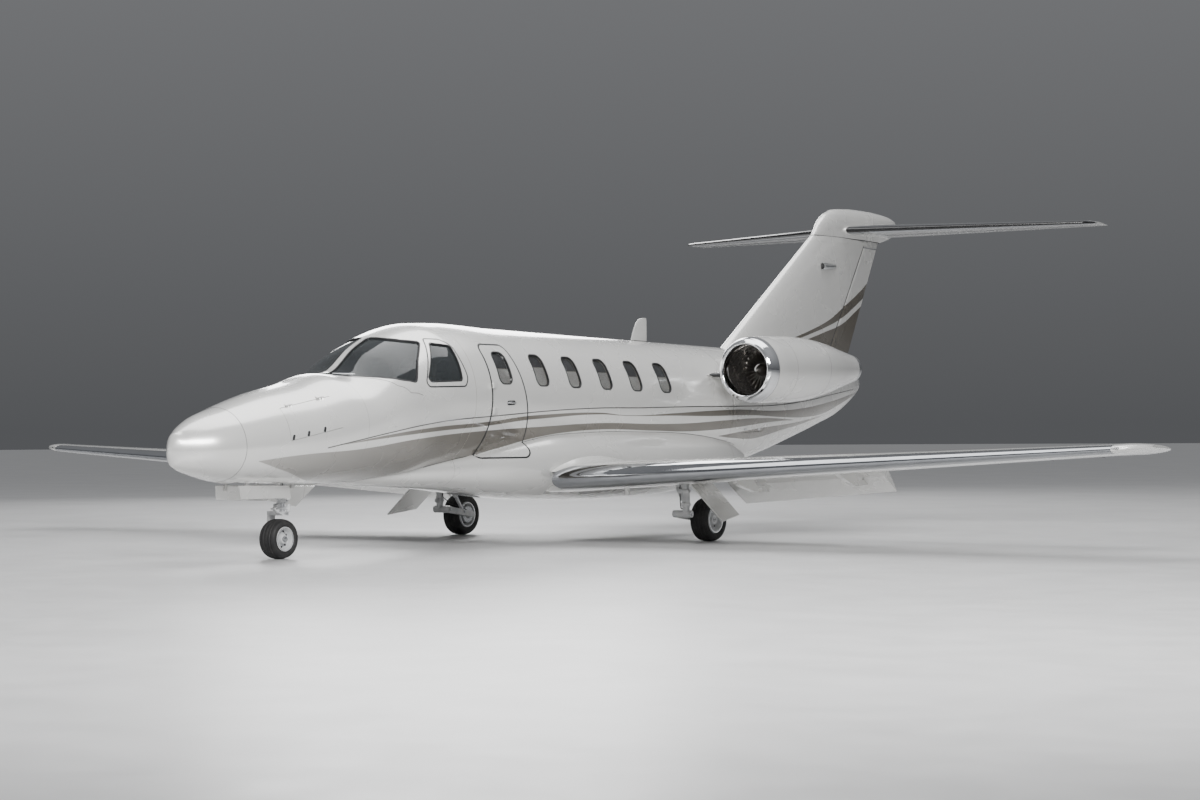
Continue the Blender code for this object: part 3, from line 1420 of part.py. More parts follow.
def gear_doors():
    """Fixed plates beside the legs. The starboard nose door is the longer one."""
    edge = WELL_HALF_WIDTH + 0.012
    left = plate("nose_gear_door_left",
                 [(edge, 0.86, 0.795), (edge, 1.62, 0.775), (edge + 0.03, 1.62, 0.655),
                  (edge + 0.03, 0.86, 0.665)], 0.012, "pearl")
    right = plate("nose_gear_door_right",
                  [(-edge, 0.86, 0.795), (-edge, 2.40, 0.765), (-edge - 0.048, 2.14, 0.545),
                   (-edge - 0.034, 1.70, 0.620), (-edge - 0.03, 0.90, 0.655)], 0.012, "pearl")
    for body, side, stations in ((left, 1, (0.98, 1.46)), (right, -1, (0.98, 1.46, 2.00))):
        for k, station in enumerate(stations):
            door_bracket(body, f"{body.name}_bracket_{k}", side, WELL_HALF_WIDTH - GAP, edge + 0.004,
                         station, (0.745, 0.768, 0.885))
    for side, word in ((1, "left"), (-1, "right")):
        corners = [(2.10, 6.50, 0.702), (2.10, 7.00, 0.692), (2.485, 6.964, 0.335), (2.56, 6.47, 0.275)]
        door = plate(f"main_gear_door_{word}", [(side * x, s, z) for x, s, z in corners], 0.014, "pearl")
        for k, station in enumerate((6.56, 6.90)):
            door_bracket(door, f"{door.name}_bracket_{k}", side, WHEEL_WELL[0][1] - GAP, 2.108, station,
                         (0.680, 0.698, 0.820))


def dorsal_antenna(hull):
    """Swept blade on the crown."""
    rings = []
    for height, front, rear, half in ((2.40, 8.09, 8.43, 0.016), (2.80, 8.46, 8.68, 0.006)):
        rings.append([at(x, s, height) for x, s in ((0.0, front), (half, (front + rear) / 2), (0.0, rear),
                                                    (-half, (front + rear) / 2))])
    body = loft("dorsal_antenna", rings, "pearl")
    combine(body, hull)
    return body


def build():
    hull = hull_solid("hull_trim", 2.0, 14.36)
    radome()
    nose_section()
    cockpit_shell()
    cabin_shell()
    cabin_door()
    cabin_floor()
    instrument_panel()
    seat_row("crew_seats", CREW_SEATS, (3.30, 3.82))
    seat_row("cabin_seats", CABIN_SEATS, (5.20, 8.10))
    belly_fairing(hull)
    tail = tail_section()
    lid("tail_baggage_door", BAY_DOOR, 1, 0.020)
    fin_body = fin(hull)
    rudder(fin_body, tail)
    tail_surface = tailplane()
    fin_cap()
    nose_strut()
    nose_fork()
    wheel("nose_wheel", NOSE_AXLE, NOSE_TYRE_WIDTH, 0.118)
    gear_doors()
    dorsal_antenna(hull)
    for side, word in ((1, "left"), (-1, "right")):
        lid(f"nose_baggage_door_{word}", BAY_OUTLINE, side, BAY_SKIN)
        cockpit_glass(side, word)
        cabin_windows(side, word)
        wing_body = wing(side, word, hull)
        leading_edge(side, word)
        flap_track(side, word, wing_body)
        flap(side, word)
        aileron(side, word, wing_body)
        elevator(side, word, tail_surface)
        nacelle(side, word)
        fan(side, word)
        engine_core(side, word)
        pylon(side, word, hull)
        main_leg(side, word)
        x, station, height = MAIN_AXLE
        wheel(f"main_wheel_{word}", (side * x, station, height), MAIN_TYRE_WIDTH, 0.150)
    for obj in PARTS.objects:
        if obj.name.startswith(MERGED):
            merge_flat_faces(obj)


build()
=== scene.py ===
import math
import bpy
import numpy as np
from mathutils import Matrix, Vector


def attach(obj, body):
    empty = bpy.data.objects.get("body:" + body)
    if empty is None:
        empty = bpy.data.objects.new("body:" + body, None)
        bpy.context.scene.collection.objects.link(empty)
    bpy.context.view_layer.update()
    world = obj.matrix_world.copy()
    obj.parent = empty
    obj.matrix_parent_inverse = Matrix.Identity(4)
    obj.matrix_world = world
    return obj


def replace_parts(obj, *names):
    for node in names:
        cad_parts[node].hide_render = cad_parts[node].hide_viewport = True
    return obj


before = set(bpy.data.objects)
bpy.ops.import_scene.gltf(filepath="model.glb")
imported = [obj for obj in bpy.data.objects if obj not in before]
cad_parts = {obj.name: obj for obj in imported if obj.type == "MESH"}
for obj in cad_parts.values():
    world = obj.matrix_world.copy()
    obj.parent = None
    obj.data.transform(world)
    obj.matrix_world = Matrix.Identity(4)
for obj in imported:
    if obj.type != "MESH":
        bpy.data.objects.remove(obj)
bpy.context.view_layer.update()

length = 15.59              # nose to the rear of the fin's cap
lengthHalf = length / 2
tau = 2 * math.pi
bothSides = ((1, "left"), (-1, "right"))
print("frame loaded")

# Mesh helpers


# Points from arrays of x, station and height.
def at(x, s, z):
    x, s, z = np.broadcast_arrays(np.asarray(x, float), s, z)
    return np.stack([x, s - lengthHalf, z], -1)


# Quads between neighbouring points of a rows by cols grid, wrapping round where it is closed.
def gridFaces(rows, cols, closeRows=False, closeCols=False):
    a, b = np.meshgrid(np.arange(rows - (not closeRows)), np.arange(cols - (not closeCols)), indexing="ij")
    a, b = a.ravel(), b.ravel()
    c, d = (a + 1) % rows, (b + 1) % cols
    return np.stack([a * cols + b, c * cols + b, c * cols + d, a * cols + d], -1)


# Cross product of each quad's diagonals.
def faceNormals(points, faces):
    a, b, c, d = (points[faces[:, k]] for k in range(4))
    return np.cross(c - a, d - b)


# Points that lie together become one, and faces that shrink to a line go.
def weld(points, faces, reach=1e-5):
    keys = np.round(points / reach).astype(np.int64)
    _, first, back = np.unique(keys, axis=0, return_index=True, return_inverse=True)
    faces = back.ravel()[faces]
    kept = np.array([len(set(f)) >= 3 for f in faces.tolist()], bool)
    return points[first], faces[kept]


# Faces turned so that their normals lie along a direction, or along one for each face.
def facing(points, faces, away):
    return points, faces if (faceNormals(points, faces) * away).sum() >= 0 else faces[:, ::-1]


# Faces turned away from a point, or from one point for each face, judged along the given axes.
def awayFrom(points, faces, centre, axes=(1, 1, 1)):
    return facing(points, faces, (points[faces].mean(1) - centre) * np.array(axes))


# A patch of the fuselage's skin turned away from its middle line.
def outwards(points, faces):
    return awayFrom(points, faces, np.array([0, points[:, 1].mean(), 1.65]))


# A closed shape turned outwards, by the sign of its volume.
def turnedOut(points, faces):
    v = points[faces]
    volume = (np.cross(v[:, 0], v[:, 1]) * v[:, 2]).sum() + (np.cross(v[:, 0], v[:, 2]) * v[:, 3]).sum()
    return points, faces if volume > 0 else faces[:, ::-1]


# A grid of points as one sheet.
def gridMesh(grid, closeRows=False, closeCols=False):
    return weld(grid.reshape(-1, 3), gridFaces(*grid.shape[:2], closeRows, closeCols))


# A closed shape from a row of rings.
def ringMesh(grid, closeRows=False):
    return turnedOut(*gridMesh(grid, closeRows, True))


# The same, its first and last ring closed to their middles.
def closedEnds(grid):
    first, last = (np.broadcast_to(grid[k].mean(0), grid[k].shape)[None] for k in (0, -1))
    return ringMesh(np.concatenate([first, grid, last]))


# A sheet gets an inner side, its points moved in along their normals, and a rim along its open edges.
def thicken(points, faces, depth):
    normal = faceNormals(points, faces)
    total = np.zeros_like(points)
    for k in range(faces.shape[1]):
        np.add.at(total, faces[:, k], normal)
    total /= np.maximum(np.linalg.norm(total, axis=1, keepdims=True), 1e-12)
    count = len(points)
    inner = points - total * depth
    starts, ends = faces.ravel(), np.roll(faces, -1, axis=1).ravel()
    good = starts != ends
    starts, ends = starts[good], ends[good]
    there = set((starts * count + ends).tolist())
    edge = np.array([e * count + s not in there for s, e in zip(starts.tolist(), ends.tolist())], bool)
    s, e = starts[edge], ends[edge]
    rim = np.stack([e, s, s + count, e + count], -1)
    allFaces = np.concatenate([faces, faces[:, ::-1] + count, rim])
    return np.concatenate([points, inner]), allFaces


def linked(name, data):
    obj = bpy.data.objects.new(name, data)
    bpy.context.scene.collection.objects.link(obj)
    return obj


# An object from arrays. Faces with a repeated corner become triangles.
def meshObject(name, points, faces, materials):
    mesh = bpy.data.meshes.new(name)
    corners = [[v for k, v in enumerate(f) if v != f[k - 1]] for f in faces.tolist()]
    mesh.from_pydata(points.tolist(), [], corners)
    for material in materials:
        mesh.materials.append(material)
    return linked(name, mesh)


# A finished piece that rides on a body. The slot that goes with its first material, or the one named, is
# looked up but not kept.
def piece(name, points, faces, materials, body="airframe", slotName=None, part=None, sharp=32):
    materials = materials if isinstance(materials, list) else [materials]
    obj = meshObject(name, points, faces, materials)
    mesh = obj.data
    mesh.validate()
    mesh.update()
    mesh.polygons.foreach_set("use_smooth", np.ones(len(mesh.polygons), bool))
    mesh.set_sharp_from_angle(angle=math.radians(sharp))
    if len(materials) > 1 and len(mesh.polygons) == len(part):
        mesh.polygons.foreach_set("material_index", np.asarray(part, np.int32))
    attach(obj, body)
    slotName or slotOf.get(materials[0].name, "dark_plastic")
    return obj


# Several (points, faces) in one pair of arrays.
def joined(parts):
    starts = np.cumsum([0] + [len(points) for points, faces in parts])
    return (np.concatenate([points for points, faces in parts]),
            np.concatenate([faces + start for (points, faces), start in zip(parts, starts)]))


# Two cross directions at each point of a path, turned as little as possible.
def frameAlong(path):
    tangent = np.gradient(path, axis=0)
    tangent /= np.maximum(np.linalg.norm(tangent, axis=1, keepdims=True), 1e-12)
    side = np.cross(tangent[0], (0, 0, 1))
    if np.linalg.norm(side) < 0.2:
        side = np.cross(tangent[0], (1, 0, 0))
    side = side / np.linalg.norm(side)
    across = []
    for t in tangent:
        side = side - t * (side @ t)
        side /= np.linalg.norm(side)
        across.append(side)
    across = np.array(across)
    return across, np.cross(tangent, across)


# The point of a path that lies nearest to each point.
def nearest(path, points):
    return path[((points[:, None] - path[None]) ** 2).sum(-1).argmin(1)]


# A circle carried along a path. The radius may change from point to point.
def tube(path, radius, count=12, capped=True):
    path = np.asarray(path, float)
    radius = np.broadcast_to(np.asarray(radius, float), (len(path),))
    a, b = frameAlong(path)
    if capped:
        path, a, b = (np.concatenate([v[:1], v, v[-1:]]) for v in (path, a, b))
        radius = np.concatenate([[0.0], radius, [0.0]])
    turn = (np.arange(count) * tau / count)[None, :, None]
    grid = path[:, None] + radius[:, None, None] * (np.cos(turn) * a[:, None] + np.sin(turn) * b[:, None])
    points, faces = gridMesh(grid, False, True)
    return awayFrom(points, faces, nearest(path, points[faces].mean(1)))


# A profile of (along the axis, radius) pairs turned about an axis. One that isn't closed ends on the axis.
def turned(profile, origin, axis, count=64, closed=True):
    profile = np.asarray(profile, float)
    axis = np.asarray(axis, float) / np.linalg.norm(axis)
    a = np.cross(axis, (0, 0, 1) if abs(axis[2]) < 0.9 else (1, 0, 0))
    a /= np.linalg.norm(a)
    turn = np.arange(count) * tau / count
    ring = np.cos(turn)[:, None] * a + np.sin(turn)[:, None] * np.cross(axis, a)
    along, radius = profile[:, 0, None, None], profile[:, 1, None, None]
    return ringMesh(np.asarray(origin, float) + along * axis + radius * ring, closed)


def bend(value, power):
    return np.sign(value) * np.abs(value) ** power


# A sphere's x, y and z raised to powers, which makes it nearly a block.
def squaredSphere(count, power, upright):
    u = np.linspace(-math.pi / 2, math.pi / 2, count * 2 + 1)[:, None]
    v = (np.arange(count * 4) * tau / (count * 4))[None]
    x, y = (bend(np.cos(u), power) * bend(wave(v), power) for wave in (np.cos, np.sin))
    return x, y, bend(np.sin(u), upright) + 0 * x


# A block with round edges.
def roundedBox(centre, size, power=0.35, count=8):
    grid = np.stack(squaredSphere(count, power, power), -1)
    return ringMesh(grid * np.asarray(size, float) / 2 + np.asarray(centre, float))


# Fuselage form

barrelHalf = 0.865          # half width of the cabin's round section
arcScale = barrelHalf       # angle times this is about the distance round the skin
skinLift = 0.002            # skins lie this far over the solids they cover
bellyPower = 0.85           # how square the belly fairing's section is
bellyEnds = (2.52, 9.87)    # first and last station of the fairing


# Rise of the fuselage's middle line, which falls towards the tail.
def lineRise(s, origin=7.5):
    return -0.021 * (s - origin)


def barrelRow(s):
    centre = 1.661 + lineRise(s)
    return (s, centre + barrelHalf, centre - barrelHalf, barrelHalf, centre)


# Station, top, bottom, half width, height of the widest place
hullTable = np.array([
    (0.00, 1.200, 1.160, 0.012, 1.180), (0.04, 1.300, 1.055, 0.060, 1.180),
    (0.14, 1.385, 0.985, 0.160, 1.181), (0.35, 1.505, 0.920, 0.315, 1.184),
    (0.68, 1.618, 0.845, 0.455, 1.203), (1.20, 1.770, 0.808, 0.590, 1.250),
    (1.75, 1.890, 0.793, 0.690, 1.314), (2.10, 1.984, 0.790, 0.745, 1.388),
    (2.45, 2.025, 0.792, 0.797, 1.479), (2.80, 2.277, 0.797, 0.852, 1.612),
    (3.20, 2.463, 0.805, 0.863, 1.628), (3.60, 2.573, 0.835, 0.865, 1.726), barrelRow(3.98),
    barrelRow(5.20), barrelRow(6.80), barrelRow(8.40), barrelRow(9.45),
    (10.20, 2.470, 0.830, 0.815, 1.650), (11.10, 2.455, 0.990, 0.715, 1.710),
    (12.00, 2.440, 1.190, 0.590, 1.800), (12.80, 2.420, 1.375, 0.455, 1.880),
    (13.50, 2.360, 1.555, 0.315, 1.955), (13.95, 2.270, 1.740, 0.205, 2.005),
    (14.22, 2.140, 1.880, 0.110, 2.010), (14.36, 2.050, 1.970, 0.030, 2.010)])
# Station, bottom, half width, height of the widest place, top
bellyTable = np.array([
    (2.52, 0.800, 0.06, 0.86, 0.92), (2.75, 0.768, 0.20, 0.86, 0.98), (3.40, 0.722, 0.40, 0.90, 1.06),
    (4.20, 0.668, 0.60, 0.93, 1.18), (4.80, 0.605, 0.79, 0.95, 1.32), (5.40, 0.545, 0.93, 0.95, 1.44),
    (6.20, 0.500, 0.985, 0.94, 1.50), (7.40, 0.488, 0.985, 0.93, 1.52), (8.40, 0.515, 0.960, 0.93, 1.50),
    (9.20, 0.590, 0.900, 0.93, 1.42), (9.65, 0.665, 0.835, 0.93, 1.32), (9.87, 0.740, 0.780, 0.93, 1.22)])


# Cubic through the table's rows, with the slopes of the neighbouring rows.
def smoothRows(table, s):
    places = table[:, 0]
    s = np.asarray(s, float)
    k = np.clip(np.searchsorted(places, s) - 1, 0, len(places) - 2)
    slopes = np.gradient(table[:, 1:], places, axis=0)
    step = (places[k + 1] - places[k])[..., None]
    t = ((s - places[k]) / (places[k + 1] - places[k]))[..., None]
    t2, t3 = t * t, t * t * t
    out = ((2 * t3 - 3 * t2 + 1) * table[k, 1:] + (t3 - 2 * t2 + t) * step * slopes[k]
           + (-2 * t3 + 3 * t2) * table[k + 1, 1:] + (t3 - t2) * step * slopes[k + 1])
    return np.moveaxis(out, -1, 0)


# Skin of the fuselage: an ellipse half above and half below the widest place, angle from port upwards.
def hullPoint(s, angle, lift=0.0):
    s, angle = np.broadcast_arrays(np.asarray(s, float), angle)
    top, bottom, half, middle = smoothRows(hullTable, s)
    reach = np.where(np.sin(angle) >= 0, top - middle, middle - bottom)
    return at((half + lift) * np.cos(angle), s, middle + (reach + lift) * np.sin(angle))


# Angle of the port side's point at a height.
def hullAngle(s, z):
    top, bottom, half, middle = smoothRows(hullTable, s)
    reach = np.where(z >= middle, top - middle, middle - bottom)
    return np.arcsin(np.clip((z - middle) / reach, -1, 1))


# Skin of the belly fairing: a squared ellipse round its middle height.
def bellyPoint(s, angle, lift=0.0):
    s, angle = np.broadcast_arrays(np.asarray(s, float), angle)
    bottom, half, middle, top = smoothRows(bellyTable, s)
    reach = np.where(np.sin(angle) >= 0, top - middle, middle - bottom)
    return at((half + lift) * bend(np.cos(angle), bellyPower), s,
              middle + (reach + lift) * bend(np.sin(angle), bellyPower))


def bellyAngle(s, z):
    bottom, half, middle, top = smoothRows(bellyTable, s)
    reach = np.where(z >= middle, top - middle, middle - bottom)
    return np.arcsin(bend(np.clip((z - middle) / reach, -1, 1), 1 / bellyPower))


# Skin at a station and height, port or starboard.
def sidePoint(s, z, side=1, lift=0.0):
    return hullPoint(s, hullAngle(s, z), lift) * np.array([side, 1, 1])


# Flat outline with round corners, its points evenly spaced.
def roundedOutline(corners, radius, spacing=0.010):
    corners = np.asarray(corners, float)
    radii = np.broadcast_to(np.asarray(radius, float), (len(corners),))
    parts = []
    for k in range(len(corners)):
        p, before, after = corners[k], corners[k - 1], corners[(k + 1) % len(corners)]
        a, b = before - p, after - p
        la, lb = np.linalg.norm(a), np.linalg.norm(b)
        a, b = a / la, b / lb
        half = math.acos(np.clip(a @ b, -1, 1)) / 2
        setback = min(radii[k] / math.tan(half), 0.49 * la, 0.49 * lb)
        r = setback * math.tan(half)
        if r < 1e-4:
            parts.append(p[None])
            continue
        centre = p + (a + b) / np.linalg.norm(a + b) * (r / math.sin(half))
        start, end = p + a * setback - centre, p + b * setback - centre
        sweep = math.pi - 2 * half
        t = np.linspace(0, 1, 9)[:, None]
        parts.append(centre + (start * np.sin((1 - t) * sweep) + end * np.sin(t * sweep)) / math.sin(sweep))
    loop = np.concatenate(parts)
    loop = np.concatenate([loop, loop[:1]])
    step = np.concatenate([[0], np.cumsum(np.linalg.norm(np.diff(loop, axis=0), axis=1))])
    count = max(24, int(step[-1] / spacing))
    t = np.linspace(0, step[-1], count, endpoint=False)
    return np.stack([np.interp(t, step, loop[:, 0]), np.interp(t, step, loop[:, 1])], -1)


# An outline moved out along its normals.
def grown(outline, amount):
    tangent = np.roll(outline, -1, axis=0) - np.roll(outline, 1, axis=0)
    tangent /= np.maximum(np.linalg.norm(tangent, axis=1, keepdims=True), 1e-12)
    normal = np.stack([tangent[:, 1], -tangent[:, 0]], -1)
    x, y = outline[:, 0], outline[:, 1]
    area = (x * np.roll(y, -1) - np.roll(x, -1) * y).sum()
    return outline + normal * amount * (1 if area > 0 else -1)


# Even-odd test of points against a closed outline.
def insideOutline(points, outline):
    inside = np.zeros(len(points), bool)
    near = ((points >= outline.min(0)) & (points <= outline.max(0))).all(1)
    p = points[near]
    result = np.zeros(len(p), bool)
    a, b = outline, np.roll(outline, -1, axis=0)
    for (ax, ay), (bx, by) in zip(a, b):
        crosses = (ay > p[:, 1]) != (by > p[:, 1])
        with np.errstate(divide="ignore", invalid="ignore"):
            reach = (bx - ax) * (p[:, 1] - ay) / (by - ay) + ax
        result ^= crosses & (p[:, 0] < reach)
    inside[near] = result
    return inside


# Grid over two parameters. Faces outside the kept outline and inside the holes go, and the points left on an
# edge move onto it. Sharp corners are set on an edge's nearest point. Gives the parameters and the faces.
def openedGrid(us, vs, holes, corners=(), keep=None):
    u, v = np.meshgrid(us, vs, indexing="ij")
    flat = np.stack([u.ravel(), v.ravel()], -1)
    faces = gridFaces(len(us), len(vs))
    outlines = ([] if keep is None else [(keep, True)]) + [(hole, False) for hole in holes]
    for outline, wanted in outlines:
        hit = insideOutline(flat[faces].mean(1), outline) != wanted
        if not hit.any():
            continue
        gone, faces = faces[hit], faces[~hit]
        edge = np.intersect1d(np.unique(gone), np.unique(faces))
        p, along = flat[edge], np.roll(outline, -1, axis=0) - outline
        t = ((p[:, None] - outline) * along).sum(-1) / np.maximum((along * along).sum(-1), 1e-12)
        q = outline + np.clip(t, 0, 1)[..., None] * along
        flat[edge] = q[np.arange(len(edge)), ((q - p[:, None]) ** 2).sum(-1).argmin(1)]
        for corner in corners:
            near = ((flat[edge] - corner) ** 2).sum(1)
            if near.min() < 0.02 ** 2:
                flat[edge[near.argmin()]] = corner
    used, back = np.unique(faces, return_inverse=True)
    return flat[used], back.reshape(faces.shape)


# Places from first to last: fine steps in the given spans and coarse ones elsewhere.
def spread(first, last, coarse, fineSpans, fine):
    marks = [first]
    spans = sorted((max(a, first), min(b, last)) for a, b in fineSpans if b > first and a < last)
    merged = []
    for a, b in spans:
        if merged and a <= merged[-1][1] + coarse * 0.5:
            merged[-1][1] = max(merged[-1][1], b)
        else:
            merged.append([a, b])
    place = first
    for a, b in merged + [[last, last]]:
        if a > place + 1e-6:
            marks += np.linspace(place, a, max(2, int(round((a - place) / coarse)) + 1))[1:].tolist()
        if b > a + 1e-6:
            marks += np.linspace(a, b, max(2, int(round((b - a) / fine)) + 1))[1:].tolist()
        place = b
    return np.array(marks)


# Outline in station and height as station and arc on the skin.
def toPlane(outline, side=1):
    outline = np.asarray(outline, float)
    angle = hullAngle(outline[:, 0], outline[:, 1])
    return np.stack([outline[:, 0], (angle if side > 0 else math.pi - angle) * arcScale], -1)


# An outline on the skin mirrored to the other side.
def otherSide(plane):
    return np.stack([plane[:, 0], math.pi * arcScale - plane[:, 1]], -1)


# Materials

# A material whose shader has the given socket values.
def newMaterial(name, **values):
    material = bpy.data.materials.new(name)
    material.use_nodes = True
    shader = material.node_tree.nodes["Principled BSDF"]
    for key, value in values.items():
        socket = shader.inputs[key]
        socket.default_value = (*value, 1.0) if isinstance(value, tuple) and len(value) == 3 else value
    return material


# Adds a node. Inputs are values or other nodes' sockets.
def put(material, kind, inputs=None, **settings):
    tree = material.node_tree
    made = tree.nodes.new(kind)
    for key, value in settings.items():
        setattr(made, key, value)
    for key, value in (inputs or {}).items():
        if isinstance(value, bpy.types.NodeSocket):
            tree.links.new(value, made.inputs[key])
        else:
            made.inputs[key].default_value = value
    return made


def maths(material, operation, a, b=0.0, c=0.0, clamp=False):
    made = put(material, "ShaderNodeMath", {0: a, 1: b, 2: c}, operation=operation, use_clamp=clamp)
    return made.outputs[0]


def objectPlace(material):
    return put(material, "ShaderNodeTexCoord").outputs["Object"]


def noise(material, vector, scale, detail=4.0, roughness=0.5):
    made = put(material, "ShaderNodeTexNoise", {"Vector": vector, "Scale": scale, "Detail": detail,
                                                "Roughness": roughness})
    return made.outputs["Fac"]


def ramp(material, factor, low, high, toLow=0.0, toHigh=1.0):
    made = put(material, "ShaderNodeMapRange", {"Value": factor, "From Min": low, "From Max": high,
                                                "To Min": toLow, "To Max": toHigh})
    return made.outputs["Result"]


def mixColour(material, factor, a, b):
    made = put(material, "ShaderNodeMix", data_type="RGBA")
    tree = material.node_tree
    for index, value in ((0, factor), (6, a), (7, b)):
        socket = made.inputs[index]
        if isinstance(value, bpy.types.NodeSocket):
            tree.links.new(value, socket)
        elif isinstance(value, tuple):
            socket.default_value = (*value, 1.0)
        else:
            socket.default_value = value
    return made.outputs[2]


def join(material, socketName, source):
    shader = material.node_tree.nodes["Principled BSDF"]
    material.node_tree.links.new(source, shader.inputs[socketName])


def bump(material, height, strength, distance):
    made = put(material, "ShaderNodeBump", {"Height": height, "Strength": strength, "Distance": distance})
    join(material, "Normal", made.outputs["Normal"])


paint = {
    "pearl": (0.76, 0.755, 0.735),
    "pearlShade": (0.70, 0.70, 0.69),
    "taupe": (0.105, 0.090, 0.068),
    "lineColour": (0.028, 0.025, 0.020),
    "edge": 0.005,              # softness of a painted edge, in metres
    "lineHalf": 0.0065,
    "fade": (0.9, 3.2, 0.62, 1.0),    # the bands start paler: stations, then strengths
    # station and height of the painted edges
    "line": [(1.687, 1.189), (2.10, 1.264), (2.59, 1.350), (3.06, 1.424), (3.60, 1.480), (4.26, 1.520),
             (4.93, 1.560), (5.30, 1.582), (6.41, 1.622), (7.277, 1.627), (8.413, 1.645), (9.51, 1.655),
             (10.6, 1.672), (11.72, 1.738), (12.78, 1.838), (13.81, 1.927)],
    "secondHigh": [(1.90, 1.225), (3.07, 1.382), (4.28, 1.463), (4.94, 1.524), (5.21, 1.539),
                   (6.42, 1.566), (6.99, 1.535), (8.06, 1.562), (8.81, 1.592), (9.60, 1.611),
                   (10.7, 1.600), (11.76, 1.645), (12.82, 1.745), (13.66, 1.847), (14.1, 1.90)],
    "secondLow": [(1.90, 1.220), (3.09, 1.337), (4.30, 1.417), (4.95, 1.478), (5.22, 1.493), (6.42, 1.545),
                  (6.99, 1.527), (8.07, 1.529), (8.82, 1.524), (10.02, 1.536), (10.83, 1.514),
                  (11.86, 1.514), (12.61, 1.570), (13.24, 1.701), (14.1, 1.88)],
    "thirdHigh": [(0.84, 1.062), (1.35, 1.119), (2.19, 1.173), (3.12, 1.281), (4.33, 1.362), (5.26, 1.400),
                  (6.45, 1.441), (7.61, 1.428), (8.38, 1.433), (9.26, 1.470), (10.23, 1.500),
                  (11.4, 1.475)],
    "thirdLow": [(0.84, 1.058), (1.30, 0.94), (1.84, 0.834), (3.877, 0.903), (4.396, 1.100),
                 (4.714, 1.168), (5.019, 1.235), (5.365, 1.288), (5.737, 1.326), (6.535, 1.362),
                 (7.66, 1.341), (8.44, 1.328), (9.31, 1.359), (10.62, 1.447), (11.4, 1.470)],
    "fourthHigh": [(9.19, 1.267), (10.12, 1.351), (11.55, 1.443), (12.6, 1.54)],
    "fourthLow": [(9.19, 1.262), (9.7, 1.23), (10.24, 1.227), (10.99, 1.322), (12.15, 1.461), (12.6, 1.535)],
    "finHigh": [(11.55, 2.500), (12.098, 2.622), (12.734, 2.770), (13.327, 2.936), (13.769, 3.120),
                (14.449, 3.422), (14.8, 3.62)],
    "finLow": [(11.55, 2.497), (12.235, 2.612), (12.733, 2.715), (13.264, 2.837), (13.766, 2.977),
               (14.347, 3.218), (14.8, 3.43)],
    "finFill": [(12.0, 2.48), (12.492, 2.602), (13.222, 2.762), (13.765, 2.884), (14.302, 3.110),
                (14.8, 3.33)],
    "seams": (2.24, 3.98, 9.45, 11.10),
    "finFillFrom": (12.1, 2.435),     # the fin's fill starts at this station and height
}


# Height of a painted edge at a station, from a curve through its points.
def curveOf(material, station, points, reach=5.0):
    made = put(material, "ShaderNodeFloatCurve", {"Value": maths(material, "MULTIPLY", station, 1 / length)})
    curve = made.mapping.curves[0]
    places = [(s / length, z / reach) for s, z in points]
    curve.points[0].location = places[0]
    curve.points[-1].location = places[-1]
    for place in places[1:-1]:
        curve.points.new(*place)
    made.mapping.update()
    return maths(material, "MULTIPLY", made.outputs["Value"], reach)


# 0 below a painted edge and 1 above it, soft across its width.
def softStep(material, value, edge):
    gap = maths(material, "SUBTRACT", value, edge)
    return maths(material, "MULTIPLY_ADD", gap, 1 / paint["edge"], 0.5, clamp=True)


# 1 between two stations.
def within(material, station, first, last):
    return maths(material, "MULTIPLY", maths(material, "GREATER_THAN", station, first),
                 maths(material, "LESS_THAN", station, last))


# 1 between two painted edges and within their stations.
def bandBetween(material, station, height, low, high):
    both = maths(material, "MULTIPLY", softStep(material, height, curveOf(material, station, low)),
                 softStep(material, curveOf(material, station, high), height))
    inside = within(material, station, max(low[0][0], high[0][0]), min(low[-1][0], high[-1][0]))
    return maths(material, "MULTIPLY", both, inside)


# Seams, fine unevenness of the finish and its cloudy shade, shared by every painted piece.
def addPaintDetail(material, vector, place, station, colour):
    cloud = noise(material, vector, 0.6, 2.0)
    colour = mixColour(material, ramp(material, cloud, 0.35, 0.75, 0.0, 0.12), colour, paint["pearlShade"])
    seam = None
    for s in paint["seams"]:
        gap = maths(material, "ABSOLUTE", maths(material, "SUBTRACT", station, s))
        line = ramp(material, gap, 0.0015, 0.0045, 1.0, 0.0)
        seam = line if seam is None else maths(material, "MAXIMUM", seam, line)
    hull = maths(material, "LESS_THAN", maths(material, "ABSOLUTE", place[0]), 0.9)
    belowFin = maths(material, "LESS_THAN", place[2], 2.62)
    seam = maths(material, "MULTIPLY", seam, maths(material, "MULTIPLY", hull, belowFin))
    colour = mixColour(material, maths(material, "MULTIPLY", seam, 0.55), colour, (0.16, 0.15, 0.14))
    peel = noise(material, vector, 45.0, 2.0)
    bump(material, maths(material, "SUBTRACT", maths(material, "MULTIPLY", peel, 0.02), seam), 0.15, 0.0010)
    join(material, "Roughness", ramp(material, noise(material, vector, 1.5, 3.0), 0.3, 0.8, 0.24, 0.31))
    join(material, "Base Color", colour)


